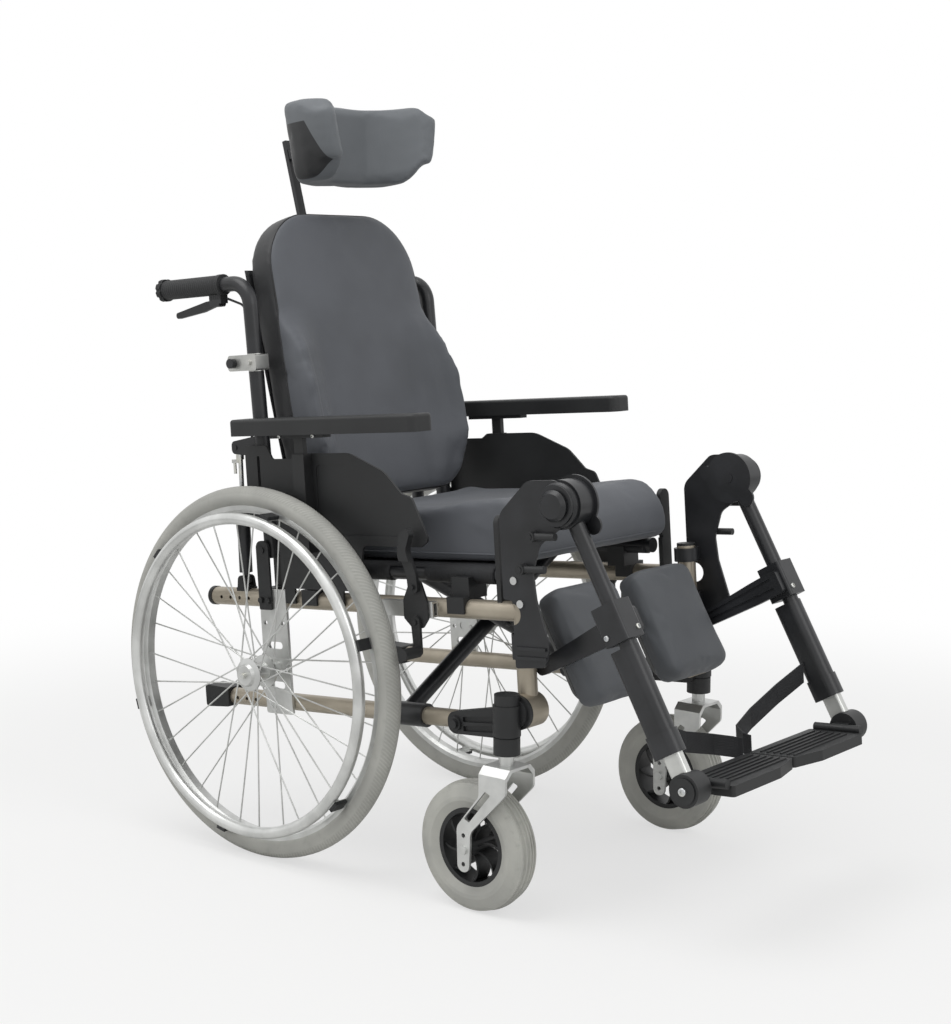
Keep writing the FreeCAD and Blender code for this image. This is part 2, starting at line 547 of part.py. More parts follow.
def curved_vane(x, y, hub_r):
    """One curved web from the boss to the hub ring."""
    thick, bow = 3.2, 9.0
    low, high = CASTER_R + 11, CASTER_R + hub_r - 5
    mid = (low + high) / 2
    first = Part.Arc(V(x - 15, y, low), V(x - 15, y + bow, mid), V(x - 15, y, high)).toShape()
    second = Part.Arc(V(x - 15, y + thick, high), V(x - 15, y + bow + thick, mid),
                      V(x - 15, y + thick, low)).toShape()
    ends = [Part.LineSegment(V(x - 15, y, high), V(x - 15, y + thick, high)).toShape(),
            Part.LineSegment(V(x - 15, y + thick, low), V(x - 15, y, low)).toShape()]
    return Part.Face(Part.Wire([first, ends[0], second, ends[1]])).extrude(V(30, 0, 0))


def plate_y(outline, y0, y1):
    corners = [V(x, y0, z) for x, z in outline]
    return Part.Face(Part.makePolygon(corners + corners[:1])).extrude(V(0, y1 - y0, 0))



# folding cross: each brace runs from one lower rail to the seat tube of the other side
def brace(tube_y):
    foot = V(-SIDE_X, tube_y, LOWER_Z)
    head = V(SEAT_TUBE_X, tube_y, SEAT_TUBE_Z)
    run = head - foot
    middle = foot + run * (SIDE_X / (SIDE_X + SEAT_TUBE_X))
    outer = Part.makeCylinder(BRACE_R, run.Length, foot, run)
    sleeve = rod((foot.x, BRACE_Y - SLEEVE_LEN / 2, foot.z), (foot.x, BRACE_Y + SLEEVE_LEN / 2, foot.z),
                 LOWER_R + 4.5)
    seat_tube = rod((head.x, SEAT_BACK_Y, head.z), (head.x, SEAT_FRONT_Y, head.z), SEAT_TUBE_R)
    inner = Part.makeCylinder(BRACE_R - TUBE_WALL, run.Length - 60, foot + run * (30 / run.Length), run)
    hub = rod((middle.x, tube_y - BRACE_R - 1, middle.z), (middle.x, tube_y + BRACE_R + 1, middle.z), 10)
    whole = fuse(fuse(outer, sleeve, seat_tube).cut(inner), hub)
    seat_bore = rod((head.x, SEAT_BACK_Y - 6, head.z), (head.x, SEAT_FRONT_Y + 6, head.z),
                    SEAT_TUBE_R - TUBE_WALL)
    rail = rod((foot.x, BRACE_Y - SLEEVE_LEN, foot.z), (foot.x, BRACE_Y + SLEEVE_LEN, foot.z),
               LOWER_R + PIN_FIT)
    return whole.cut(seat_bore).cut(rail), middle


def braces():
    half_step = BRACE_R + BRACE_GAP / 2
    rear, middle = brace(BRACE_Y + half_step)
    front, _ = brace(BRACE_Y - half_step)
    bolt_end = BRACE_Y - 2 * half_step - 6
    bolt = fuse(rod((middle.x, BRACE_Y + half_step, middle.z), (middle.x, bolt_end, middle.z), 5),
                rod((middle.x, bolt_end, middle.z), (middle.x, bolt_end - 5, middle.z), 9))
    bore = rod((middle.x, BRACE_Y + 1, middle.z), (middle.x, bolt_end - 1, middle.z), 5 + PIN_FIT)
    save("brace_a", tip(fuse(rear, bolt)))
    save("brace_b", tip(front.mirror(V(0, 0, 0), V(1, 0, 0)).cut(bore)))


# seat: sling between the two seat tubes and a contoured cushion on it
def seat():
    inner, outer = SEAT_TUBE_R + FIT, SEAT_TUBE_R + 1.3
    y0, y1 = SEAT_BACK_Y - 4, SEAT_FRONT_Y + 8
    loops = []
    for s in (-1, 1):
        loop = rod((s * SEAT_TUBE_X, y0, SEAT_TUBE_Z), (s * SEAT_TUBE_X, y1, SEAT_TUBE_Z), outer)
        loops.append(loop)
    sheet = box(-SEAT_TUBE_X, SEAT_TUBE_X, y0, y1, SEAT_TUBE_Z + inner, SEAT_TUBE_Z + inner + SLING_T)
    whole = fuse(sheet, *loops)
    for s in (-1, 1):
        whole = whole.cut(rod((s * SEAT_TUBE_X, y0 + 1, SEAT_TUBE_Z), (s * SEAT_TUBE_X, y1 - 1, SEAT_TUBE_Z),
                              inner))
    notch = SLEEVE_LEN / 2 + 6
    whole = whole.cut(box(-SIDE_X, SIDE_X, BRACE_Y - notch, BRACE_Y + notch,
                          SEAT_TUBE_Z - 2 * outer, SEAT_TUBE_Z + inner - 0.01))
    save("seat_sling", tip(whole))

    low = SEAT_TUBE_Z + inner + SLING_T + FIT
    front, back, top = CUSHION_FRONT_Y, CUSHION_BACK_Y, CUSHION_TOP_Z
    cushion = plate_x([(back, low, 6), (back, top - 16, 18), ((front + back) / 2, top - 12, 200),
                       (front + 40, top + 4, 60), (front - 8, top - 26, 30), (front - 2, low + 30, 30),
                       (front + 22, low, 10)], -CUSHION_HALF_W, CUSHION_HALF_W)
    save("seat_cushion", tip(cushion))


def lean_back(shape):
    """Turn a shape drawn upright behind the foot of the back cushion onto the back line."""
    shape.rotate(V(0, BACK_FOOT_Y, BACK_FOOT_Z), V(1, 0, 0), -BACK_LEAN)
    return shape


def back_line_y(z, behind=0.0):
    """Y of the cushion front plane, or of a plane behind it, at a height."""
    lean = radians(BACK_LEAN)
    return BACK_FOOT_Y + (z - BACK_FOOT_Z) * tan(lean) + behind / cos(lean)


# back: cushion with side wings, sling behind it, bar between the canes
def back():
    y0, z0 = BACK_FOOT_Y, BACK_FOOT_Z
    half, top = BACK_HALF_W, BACK_FOOT_Z + BACK_LEN
    wire = rounded_wire([(V(-half + 14, y0, z0), 30), (V(half - 14, y0, z0), 30),
                         (V(half, y0, z0 + 150), 100), (V(half - 4, y0, top), 112),
                         (V(-half + 4, y0, top), 112), (V(-half, y0, z0 + 150), 100)])
    cushion = Part.Face(wire).extrude(V(0, BACK_T, 0))
    for s in (-1, 1):
        edge = s * (half - 1)
        plan = [(edge, y0 + 4), (edge, y0 - 38), (s * (half - 26), y0 - 44), (s * (half - 78), y0 + 4)]
        corners = [V(x, y, z0 + 26) for x, y in plan]
        wing = Part.Face(Part.makePolygon(corners + corners[:1])).extrude(V(0, 0, 250))
        slope = box(edge + s * 5, 0, y0 - 60, y0 - 4, 0, 160)
        slope.rotate(V(0, y0 - 4, 0), V(1, 0, 0), 28)
        slope.translate(V(0, 0, z0 + 286))
        wing = wing.cut(slope)
        cushion = fuse(cushion, wing)
    save("back_cushion", tip(lean_back(cushion)))

    sling = box(-half + 8, half - 8, y0 + BACK_T + FIT, y0 + BACK_T + FIT + SLING_T, z0 + 12, top - 90)
    save("back_sling", tip(lean_back(sling)))

    reach = SIDE_X + CANE_R + 12
    bar = rod_x(-reach, reach, HEAD_BAR_Y, CLAMP_Z, HEAD_BAR_R)
    post_y = head_post_y(CLAMP_Z)
    pads = []
    for x in (-BAR_FOOT_X, BAR_FOOT_X):
        pad_front = BACK_T + 2 * FIT + SLING_T
        foot = box(x - 18, x + 18, y0 + pad_front, y0 + pad_front + 14, 0, 30)
        foot.translate(V(0, 0, z0 + (CLAMP_Z - z0) / cos(radians(BACK_LEAN)) - 15 - 5))
        pads.append(lean_back(foot))
    block = box(-18, 18, HEAD_BAR_Y - 4, post_y + 13, CLAMP_Z - 17, CLAMP_Z + 17)
    whole = fuse(bar, block, *pads)
    save("headrest_bar", tip(whole.cut(head_post(FIT))))

    post = head_post(0)
    hinge_y = HEAD_HINGE_Y
    arm_z = HEAD_Z
    arm = box(-7, 7, hinge_y, head_post_y(arm_z), arm_z - 8, arm_z + 8)
    arm = fuse(arm, rod_x(-7, 7, hinge_y, arm_z, 9), post)
    pin = rod_x(-12, 12, hinge_y, arm_z, 4)
    save("headrest_post", tip(fuse(arm, pin)))
    headrest()


HEAD_HINGE_Y = 74.0


def head_post_y(z):
    return back_line_y(z, BACK_T + 24)


def head_post(slack):
    half_x, half_y = 8 + slack, 4 + slack
    low, high = CLAMP_Z - 38 - slack, HEAD_Z + 24 + slack
    post = box(-half_x, half_x, -half_y, half_y, 0, (high - low) / cos(radians(BACK_LEAN)))
    post.rotate(V(0, 0, 0), V(1, 0, 0), -BACK_LEAN)
    post.translate(V(0, head_post_y(low), low))
    return post


def headrest():
    low, high = HEAD_Z - HEAD_H / 2, HEAD_Z + HEAD_H / 2
    w = HEAD_HALF_W
    half_plan = [(55, 52, 30), (w, 6, 40), (w + 4, -72, 18), (w - 24, -97, 14), (w - 46, -52, 30), (62, -8, 40)]
    plan = [(x, y, r) for x, y, r in half_plan] + [(-x, y, r) for x, y, r in reversed(half_plan)]
    pad = plate_z(plan, low, high)
    plate_y0, plate_y1 = 52 + FIT, 56 + FIT
    plate = box(-28, 28, plate_y0, plate_y1, HEAD_Z - 46, high + 2)
    loops = []
    for s in (-1, 1):
        x = s * 14
        ring = rod_x(x - 5, x + 5, plate_y1 - 8, high - 1, 10).cut(rod_x(x - 6, x + 6, plate_y1 - 8, high - 1, 7))
        ring = ring.cut(box(x - 6, x + 6, -20, 120, high - 30, high))
        loops.append(ring)
    cheeks = []
    for s in (-1, 1):
        cheek = plate_x([(plate_y1 - 1, HEAD_Z - 12, 0), (HEAD_HINGE_Y + 9, HEAD_Z - 10, 9),
                         (HEAD_HINGE_Y + 9, HEAD_Z + 10, 9), (plate_y1 - 1, HEAD_Z + 12, 0)],
                        s * (7 + FIT), s * 11.5)
        cheeks.append(cheek)
    bracket = fuse(plate, *cheeks)
    bracket = fuse(bracket, *loops).cut(rod_x(-20, 20, HEAD_HINGE_Y, HEAD_Z, 4 + PIN_FIT)).cut(pad)
    save("headrest_pad", tip(Part.makeCompound([pad, bracket])))


# back cane with push grip, lever bracket, bar clamp, cable and gas spring bracket
def back_cane():
    x = -SIDE_X
    foot = (x, CANE_Y - 5, PIVOT_Z - 14)
    elbow = (x, CANE_Y + 10, CANE_TOP_Z)
    cane = pipe([foot, elbow, (x, GRIP_END_Y - 20, CANE_TOP_Z)], CANE_R, CANE_BEND)
    pivot_y = recline_y()
    cane = cane.cut(rod_x(x - 20, x + 20, pivot_y, PIVOT_Z, 5 + PIN_FIT))
    grip = rod((x, GRIP_START_Y, CANE_TOP_Z), (x, GRIP_END_Y - 10, CANE_TOP_Z), GRIP_R)
    knob = rod((x, GRIP_END_Y - 10, CANE_TOP_Z), (x, GRIP_END_Y, CANE_TOP_Z), GRIP_R + 2.5)
    for i in range(8):
        flute = rod((x, GRIP_END_Y - 12, CANE_TOP_Z + GRIP_R + 4), (x, GRIP_END_Y + 2, CANE_TOP_Z + GRIP_R + 4), 3.5)
        flute.rotate(V(x, 0, CANE_TOP_Z), V(0, 1, 0), 45 * i)
        knob = knob.cut(flute)
    collar = rod((x, GRIP_START_Y - 10, CANE_TOP_Z), (x, GRIP_START_Y, CANE_TOP_Z), GRIP_R + 1)
    grip = fuse(grip, knob, collar)
    grip = grip.cut(rod((x, GRIP_START_Y - 12, CANE_TOP_Z), (x, GRIP_END_Y - 20, CANE_TOP_Z), CANE_R))
    pin_y, pin_z = lever_pin()
    cheeks = []
    for s in (-1, 1):
        cheek = plate_x([(pin_y - 22, pin_z + 18, 2), (pin_y + 8, pin_z + 18, 2), (pin_y + 8, pin_z - 7, 5),
                         (pin_y - 14, pin_z - 7, 5)], x + s * (4 + FIT), x + s * 8)
        cheeks.append(cheek)
    web = box(x - 8, x + 8, pin_y - 20, pin_y - 13, pin_z - 2, pin_z + 18)
    bracket = fuse(web, rod_x(x - 8, x + 8, pin_y, pin_z, 2.5), *cheeks)
    bracket = bracket.cut(rod((x, 40, CANE_TOP_Z), (x, GRIP_END_Y, CANE_TOP_Z), GRIP_R + 1))
    clamp_y = cane_y(CLAMP_Z)
    strap = plate_x([(clamp_y - CANE_R - 3, CLAMP_Z - 13, 3), (HEAD_BAR_Y + 14, CLAMP_Z - 13, 6),
                     (HEAD_BAR_Y + 14, CLAMP_Z + 13, 6), (clamp_y - CANE_R - 3, CLAMP_Z + 13, 3)],
                    x - CANE_R - 2.4, x + CANE_R + 2.4)
    strap = strap.cut(box(x - CANE_R, x + CANE_R, clamp_y - CANE_R, HEAD_BAR_Y - 14, CLAMP_Z - 20, CLAMP_Z + 20))
    strap = strap.cut(rod((x, cane_y(CLAMP_Z - 30), CLAMP_Z - 30), (x, cane_y(CLAMP_Z + 30), CLAMP_Z + 30), CANE_R))
    strap = strap.cut(rod_x(x - 30, x + 30, HEAD_BAR_Y, CLAMP_Z, HEAD_BAR_R + PIN_FIT))
    screw = rod_x(x - CANE_R - 6, x - CANE_R - 2.4, clamp_y, CLAMP_Z, 4.5)
    ears = []
    for s in (-1, 1):
        ear = plate_x([(cane_y(GAS_TOP_Z) - 4, GAS_TOP_Z - 16, 3), (GAS_TOP_Y + 9, GAS_TOP_Z - 10, 8),
                       (GAS_TOP_Y + 9, GAS_TOP_Z + 10, 8), (cane_y(GAS_TOP_Z) - 4, GAS_TOP_Z + 20, 3)],
                      x + s * (6.5 + FIT), x + s * 10.5)
        ears.append(ear)
    ear_pin = rod_x(x - 12, x + 12, GAS_TOP_Y, GAS_TOP_Z, 4)
    gas_bracket = fuse(ear_pin, *ears)
    line = rod((x, cane_y(GAS_TOP_Z - 60), GAS_TOP_Z - 60), (x, cane_y(GAS_TOP_Z + 60), GAS_TOP_Z + 60), CANE_R)
    gas_bracket = gas_bracket.cut(line)
    cable_x = x + CANE_R + 5.5
    cable = pipe([(x + 6, pin_y - 20, pin_z + 6), (cable_x, pin_y - 44, pin_z - 6),
                  (cable_x, cane_y(860) + 6, 860), (cable_x, cane_y(740) + 10, 740),
                  (x + 9, GAS_TOP_Y - 20, GAS_TOP_Z + 16)], 2, 16)
    save_pair("back_cane", tip(Part.makeCompound([cane, grip, bracket, strap, screw, gas_bracket, cable])))

    lever = plate_x([(pin_y - 6, pin_z - 5, 4), (pin_y - 6, pin_z + 5, 4), (pin_y + 20, pin_z + 3, 10),
                     (pin_y + 96, pin_z - 12, 4), (pin_y + 96, pin_z - 22, 5), (pin_y + 30, pin_z - 14, 20)],
                    x - 4, x + 4)
    save_pair("recline_lever", tip(lever.cut(rod_x(x - 9, x + 9, pin_y, pin_z, 2.5 + PIN_FIT))))


def lever_pin():
    return GRIP_START_Y + 12, CANE_TOP_Z - GRIP_R - 12


def cane_y(z):
    """Y of the cane axis below its elbow."""
    return CANE_Y - 5 + (z - PIVOT_Z + 14) * 15 / (CANE_TOP_Z - PIVOT_Z + 14)


def recline_y():
    return cane_y(PIVOT_Z)


# recline pivot plates and the foot of the gas spring, on the upper rail
def recline_mount():
    x, y = -SIDE_X, recline_y()
    out = x - TUBE_R - 5
    outer = plate_x([(y + 14, RAIL_Z - 16, 3), (y + 14, PIVOT_Z + 16, 12), (y - 14, PIVOT_Z + 16, 12),
                     (y - 14, RAIL_Z - 16, 3)], out, out - 4)
    inner = plate_x([(y + 14, RAIL_Z - 10, 3), (y + 14, PIVOT_Z + 14, 12), (y - 14, PIVOT_Z + 14, 12),
                     (y - 14, RAIL_Z - 10, 3)], x + CANE_R + 2, x + CANE_R + 5)
    foot = box(x - CANE_R - 2, x + CANE_R + 5, y - 14, y + 14, RAIL_Z, RAIL_Z + TUBE_R + 4)
    pin = rod_x(out - 6, x + CANE_R + 8, y, PIVOT_Z, 5)
    spacer = rod_x(out, x - CANE_R - 1, y, PIVOT_Z, 9)
    rail = rod((x, RAIL_BACK_Y, RAIL_Z), (x, POST_Y, RAIL_Z), TUBE_R)
    heads = [rod_x(out - 4, out - 8, y + s * 8, RAIL_Z, 5) for s in (-1, 1)]
    pivot = fuse(outer, inner, foot, pin, spacer, *heads).cut(rail)
    cheeks = []
    for s in (-1, 1):
        cheek = plate_x([(GAS_LOW_Y + 14, RAIL_Z + 2, 0), (GAS_LOW_Y + 9, GAS_LOW_Z + 9, 8),
                         (GAS_LOW_Y - 9, GAS_LOW_Z + 9, 8), (GAS_LOW_Y - 14, RAIL_Z + 2, 0)],
                        x + s * (6.5 + FIT), x + s * 10.5)
        cheeks.append(cheek)
    base = box(x - 10.5, x + 10.5, GAS_LOW_Y - 14, GAS_LOW_Y + 14, RAIL_Z + 2, RAIL_Z + TUBE_R + 2)
    lug = fuse(base, rod_x(x - 12, x + 12, GAS_LOW_Y, GAS_LOW_Z, 4), *cheeks).cut(rail)
    return [pivot, lug]


def gas_spring():
    x = -SIDE_X
    low, high = V(x, GAS_LOW_Y, GAS_LOW_Z), V(x, GAS_TOP_Y, GAS_TOP_Z)
    run = (high - low).normalize()
    mouth = low + run * 132
    barrel = Part.makeCylinder(GAS_R, 118, low + run * 14, run)
    barrel = barrel.cut(Part.makeCylinder(GAS_R - 2, 112, low + run * 22, run))
    neck = Part.makeCylinder(5, 12, low + run * 4, run)
    eye = rod_x(x - 6.5, x + 6.5, low.y, low.z, 8)
    cylinder = fuse(barrel, neck, eye).cut(rod_x(x - 9, x + 9, low.y, low.z, 4 + PIN_FIT))
    save_pair("gas_cylinder", tip(cylinder))
    shaft = Part.makeCylinder(GAS_ROD_R, (high - low).Length - 92, low + run * 86, run)
    head = Part.makeCylinder(6, 14, high - run * 20, run)
    top_eye = rod_x(x - 6.5, x + 6.5, high.y, high.z, 8)
    barrel_y = high.y + 15
    release = box(x - 3, x + 3, high.y + 4, barrel_y + 4, high.z - 26, high.z - 20)
    release = fuse(release, box(x - 3, x + 3, high.y, high.y + 8, high.z - 24, high.z - 6))
    adjuster = rod((x, barrel_y, high.z - 20), (x, barrel_y, high.z - 44), 2.6)
    whole = fuse(shaft, head, top_eye, release, adjuster)
    save_pair("gas_rod", tip(whole.cut(rod_x(x - 9, x + 9, high.y, high.z, 4 + PIN_FIT))))


# parking brake: base plate on the accessory bar, hand lever, roller arm
BRAKE_Y = -324.0
BRAKE_Z = 453.0
SHOE_PIVOT_Z = 399.0
SHOE_Z = 354.0
BRAKE_X = 250.0


def brake_base():
    x0 = -BRAKE_X
    base = plate_x([(BRAKE_Y + 26, RAIL_Z - 14, 4), (BRAKE_Y + 26, RAIL_Z + 14, 4), (BRAKE_Y + 10, BRAKE_Z + 10, 9),
                    (BRAKE_Y - 10, BRAKE_Z + 10, 9), (BRAKE_Y - 22, RAIL_Z + 12, 4), (BRAKE_Y - 22, RAIL_Z - 14, 4),
                    (BRAKE_Y - 10, SHOE_PIVOT_Z - 10, 8), (BRAKE_Y + 10, SHOE_PIVOT_Z - 10, 8)], x0, x0 - 4)
    pins = [rod_x(x0 - 1, x0 - 14, BRAKE_Y, BRAKE_Z, 4), rod_x(x0 - 1, x0 - 12, BRAKE_Y, SHOE_PIVOT_Z, 4)]
    return fuse(base, *pins)


def brake():
    x0 = -BRAKE_X
    lever_x = x0 - 4 - FIT
    outline = [(BRAKE_Y - 10, BRAKE_Z - 9, 7), (BRAKE_Y + 9, BRAKE_Z - 9, 7), (BRAKE_Y + 11, BRAKE_Z + 18, 20),
               (BRAKE_Y + 23, BRAKE_Z + 50, 26), (BRAKE_Y + 16, BRAKE_Z + 82, 10), (BRAKE_Y, BRAKE_Z + 92, 5),
               (BRAKE_Y - 4, BRAKE_Z + 80, 5), (BRAKE_Y + 6, BRAKE_Z + 56, 20), (BRAKE_Y - 8, BRAKE_Z + 20, 20)]
    blade = plate_x(outline, lever_x, lever_x - 6)
    grip = plate_x(outline, lever_x, lever_x - 12)
    grip = grip.common(box(lever_x, lever_x - 20, BRAKE_Y - 60, BRAKE_Y + 60, BRAKE_Z + 40, BRAKE_Z + 120))
    lever = fuse(blade, grip).cut(rod_x(x0, x0 - 30, BRAKE_Y, BRAKE_Z, 4 + PIN_FIT))
    save_pair("brake_lever", tip(lever))

    arm = plate_x([(BRAKE_Y - 9, SHOE_PIVOT_Z + 9, 8), (BRAKE_Y + 9, SHOE_PIVOT_Z + 9, 8),
                   (BRAKE_Y + 5, SHOE_Z - 6, 5), (BRAKE_Y - 9, SHOE_Z - 6, 5)], lever_x, lever_x - 5)
    roller = rod_x(lever_x - 4, lever_x - 40, BRAKE_Y - 2, SHOE_Z, 9)
    shoe = fuse(arm, roller).cut(rod_x(x0, x0 - 30, BRAKE_Y, SHOE_PIVOT_Z, 4 + PIN_FIT))
    save_pair("brake_shoe", tip(shoe))


# legrest hanger: plate, collars on the front post, outboard knee housing and knob
def hanger():
    x0, x1 = -PLATE_X, -PLATE_X - PLATE_T
    plate = plate_x([(-508, 338, 4), (-508, 438, 3), (-492, 440, 3), (-492, 566, 24), (-546, 614, 20),
                     (KNEE_Y, KNEE_Z + 36, 30), (KNEE_Y - 34, KNEE_Z, 30), (KNEE_Y, KNEE_Z - 34, 20),
                     (-562, 520, 20), (-548, 478, 20), (-552, 440, 20), (-572, 372, 12), (-562, 342, 8)], x0, x1)
    gap = FIT
    collars = []
    for low, high in ((350, 386), (RAIL_Z + TUBE_R + 7, POST_TOP_Z - 4)):
        collar = rod((-SIDE_X, POST_Y, low), (-SIDE_X, POST_Y, high), TUBE_R + 5)
        web = box(x0, -SIDE_X, POST_Y - 12, POST_Y + 6, low, high)
        collars.append(fuse(collar, web))
    for low in (352, 366):
        collars.append(box(x1 + 1, x1 - 3, -566, -512, low, low + 5))
    housing = revolve_x([(x0, 0), (x0, 33), (x0 - 6, 33), (x0 - 9, 30), (x0 - 14, 30), (x0 - 14, 0)],
                        KNEE_Y, KNEE_Z)
    slot = box(x0 - 9, x0 - 11, KNEE_Y - 40, KNEE_Y + 40, KNEE_Z - 40, KNEE_Z - 10)
    housing = housing.cut(slot.cut(rod_x(x0, x0 - 20, KNEE_Y, KNEE_Z, 24)))
    knob = revolve_x([(x0 - 13, 0), (x0 - 13, 22), (x0 - 18, 23), (x0 - 24, 18), (x0 - 24, 0)], KNEE_Y, KNEE_Z)
    pin = rod_x(x0, -LEG_X + 22, KNEE_Y, KNEE_Z, 8)
    post = rod((-SIDE_X, POST_Y, LOWER_Z), (-SIDE_X, POST_Y, POST_TOP_Z + 20), TUBE_R + gap)
    bosses = [rod_x(x0, x1 - 3, y, z, 6) for y, z in ((-514, 468), (-524, 434))]
    for y, z in (SWING_LATCH, KNEE_RELEASE):
        bosses.append(rod_x(x0, x1 - 14, y, z, 4))
    plate = plate.cut(rod_x(x0 + 1, x1 - 1, POST_Y, RAIL_Z, TUBE_R + RAIL_RELIEF))
    whole = fuse(plate, housing, knob, pin, *collars, *bosses).cut(post)
    save_pair("hanger", tip(whole))

    for name, (y, z) in (("swing_latch", SWING_LATCH), ("knee_release", KNEE_RELEASE)):
        boss = rod_x(x1 - FIT, x1 - 13, y, z, 8)
        handle = rod((x1 - 6.7, y - 6, z), (x1 - 6.7, y - 42, z), 5.5)
        lever = fuse(boss, handle)
        save_pair(name, tip(lever.cut(rod_x(x0, x1 - 20, y, z, 4 + PIN_FIT))))


SWING_LATCH = (-534.0, 486.0)
KNEE_RELEASE = (-556.0, 534.0)


# legrest: knee drum, upper tube, clamp block with calf arm, lower sleeve
def leg_tube():
    x, y, z = -LEG_X, KNEE_Y, KNEE_Z
    drum = rod_x(x - 16.7, x + 17, y, z, KNEE_R)
    flange = rod_x(x + 17, x + 21, y, z, KNEE_R + 5)
    lobes = [rod_x(x + 17, x + 21, y + 34, z + 24, 12), rod_x(x + 17, x + 21, y - 14, z - 42, 14)]
    tube = rod((x, y, z - 28), (x, y, z - 232), LEG_R)
    block = plate_z([(x - 22, y - 20, 5), (x - 22, y + 24, 5), (x + 22, y + 24, 5), (x + 22, y - 20, 5)],
                    z - 214, z - 156)
    half_w, half_d = SLEEVE_W / 2, SLEEVE_D / 2
    sleeve = plate_z([(x - half_w, y - 14, 14), (x - half_w, y - 14 + SLEEVE_D, 12),
                      (x + half_w, y - 14 + SLEEVE_D, 12), (x + half_w, y - 14, 14)], z - 378, z - 222)
    lip = plate_z([(x - half_w - 2, y - 16, 15), (x - half_w - 2, y - 12 + SLEEVE_D, 13),
                   (x + half_w + 2, y - 12 + SLEEVE_D, 13), (x + half_w + 2, y - 16, 15)], z - 384, z - 350)
    bore_x, bore_y0, bore_y1 = FOOT_TUBE_W / 2 + FIT, y - 10 - FIT, y - 10 + FOOT_TUBE_D + FIT
    bore = box(x - bore_x, x + bore_x, bore_y0, bore_y1, z - 400, z - 254)
    upper = fuse(drum, flange, *lobes, tube, block, sleeve, lip).cut(bore)
    upper = upper.cut(rod_x(x - 30, x + 30, y, z, 8 + PIN_FIT))
    arm = calf_arm()
    save_pair("leg_tube", tip(rake_leg(fuse(upper, arm))))

    foot = rod_x(x - 18, x + 16, y, z - LEG_LEN, 24)
    bar = plate_z([(x - FOOT_TUBE_W / 2, y - 10, 5), (x - FOOT_TUBE_W / 2, y - 10 + FOOT_TUBE_D, 5),
                   (x + FOOT_TUBE_W / 2, y - 10 + FOOT_TUBE_D, 5), (x + FOOT_TUBE_W / 2, y - 10, 5)],
                  z - LEG_LEN + 20, z - 262)
    bar = rake_leg(bar)
    hub_at = V(*leg_point(LEG_LEN))
    hub = rod_x(x - 18, x + 16, hub_at.y, hub_at.z, 24)
    cover = rod_x(x - 18, x - 20, hub_at.y, hub_at.z, 19)
    hinge_z = hub_at.z + 3
    carrier = box(x + 10, -FLIP_X - 4.3, hub_at.y - 12, hub_at.y + 12, hinge_z - 14, hinge_z + 6)
    knuckle = rod((-FLIP_X, hub_at.y - 12, hinge_z), (-FLIP_X, hub_at.y + 12, hinge_z), 7)
    pin = rod((-FLIP_X, hub_at.y - FOOT_DEPTH / 2 + 6, hinge_z), (-FLIP_X, hub_at.y + FOOT_DEPTH / 2 - 6, hinge_z), 3.5)
    bracket = fuse(hub, cover, carrier, knuckle, pin).cut(bar)
    save_pair("foot_tube", tip(Part.makeCompound([bar, bracket])))
    footplate(hub_at, hinge_z)
    calf_pad()
    heel_strap(hub_at)


def calf_arm():
    """Ribbed arm from the clamp block, past the calf pad and across behind it."""
    x, y, z = -LEG_X + 22, KNEE_Y, KNEE_Z
    pin_y, pin_z = CALF_PIN
    arm = plate_x([(y - 14, z - 206, 6), (y - 14, z - 168, 6), (y + 40, z - 170, 40), (pin_y + 10, pin_z + 10, 9.9),
                   (pin_y + 10, pin_z - 10, 9.9), (y + 40, z - 206, 40)], x - 1, x + 12)
    for shift in (-9, 7):
        rib = plate_x([(y, z - 188 + shift, 0), (y, z - 184 + shift, 0), (pin_y - 14, pin_z + 4 + shift / 2, 0),
                       (pin_y - 14, pin_z + shift / 2, 0)], x + 10, x + 13)
        arm = arm.cut(rib)
    return fuse(arm, rod_x(x, -CALF_IN_X - 44, pin_y, pin_z, 6))


CALF_TOP = 88.0           # along the leg from the knee
CALF_LEN = 182.0
CALF_IN_X = 24.0
CALF_OUT_X = 186.0
CALF_FRONT = 118.0        # behind the leg axis
CALF_T = 45.0
CALF_PIN = (KNEE_Y + CALF_FRONT + CALF_T + 14, KNEE_Z - 190)


def calf_pad():
    y, z = KNEE_Y, KNEE_Z
    front = y + CALF_FRONT
    wire = rounded_wire([(V(-CALF_OUT_X, front, z - CALF_TOP), 22), (V(-CALF_IN_X, front, z - CALF_TOP), 22),
                         (V(-CALF_IN_X - 4, front, z - CALF_TOP - CALF_LEN), 26),
                         (V(-CALF_OUT_X + 4, front, z - CALF_TOP - CALF_LEN), 26)])
    pad = Part.Face(wire).extrude(V(0, CALF_T, 0))
    low = z - CALF_TOP - CALF_LEN / 2
    plate = box(-CALF_OUT_X + 20, -CALF_IN_X - 20, front + CALF_T, front + CALF_T + 4, low - 62, low + 60)
    pin_y, pin_z = CALF_PIN
    lugs = []
    for x in (-CALF_OUT_X + 30, -CALF_IN_X - 60):
        lugs.append(plate_x([(front + CALF_T + 2, pin_z - 16, 0), (front + CALF_T + 2, pin_z + 16, 0),
                             (pin_y + 10, pin_z + 10, 9.9), (pin_y + 10, pin_z - 10, 9.9)], x, x + 12))
    shell = fuse(plate, *lugs).cut(rod_x(-LEG_X, 0, pin_y, pin_z, 6 + PIN_FIT))
    save_pair("calf_pad", tip(rake_leg(Part.makeCompound([pad, shell]))))


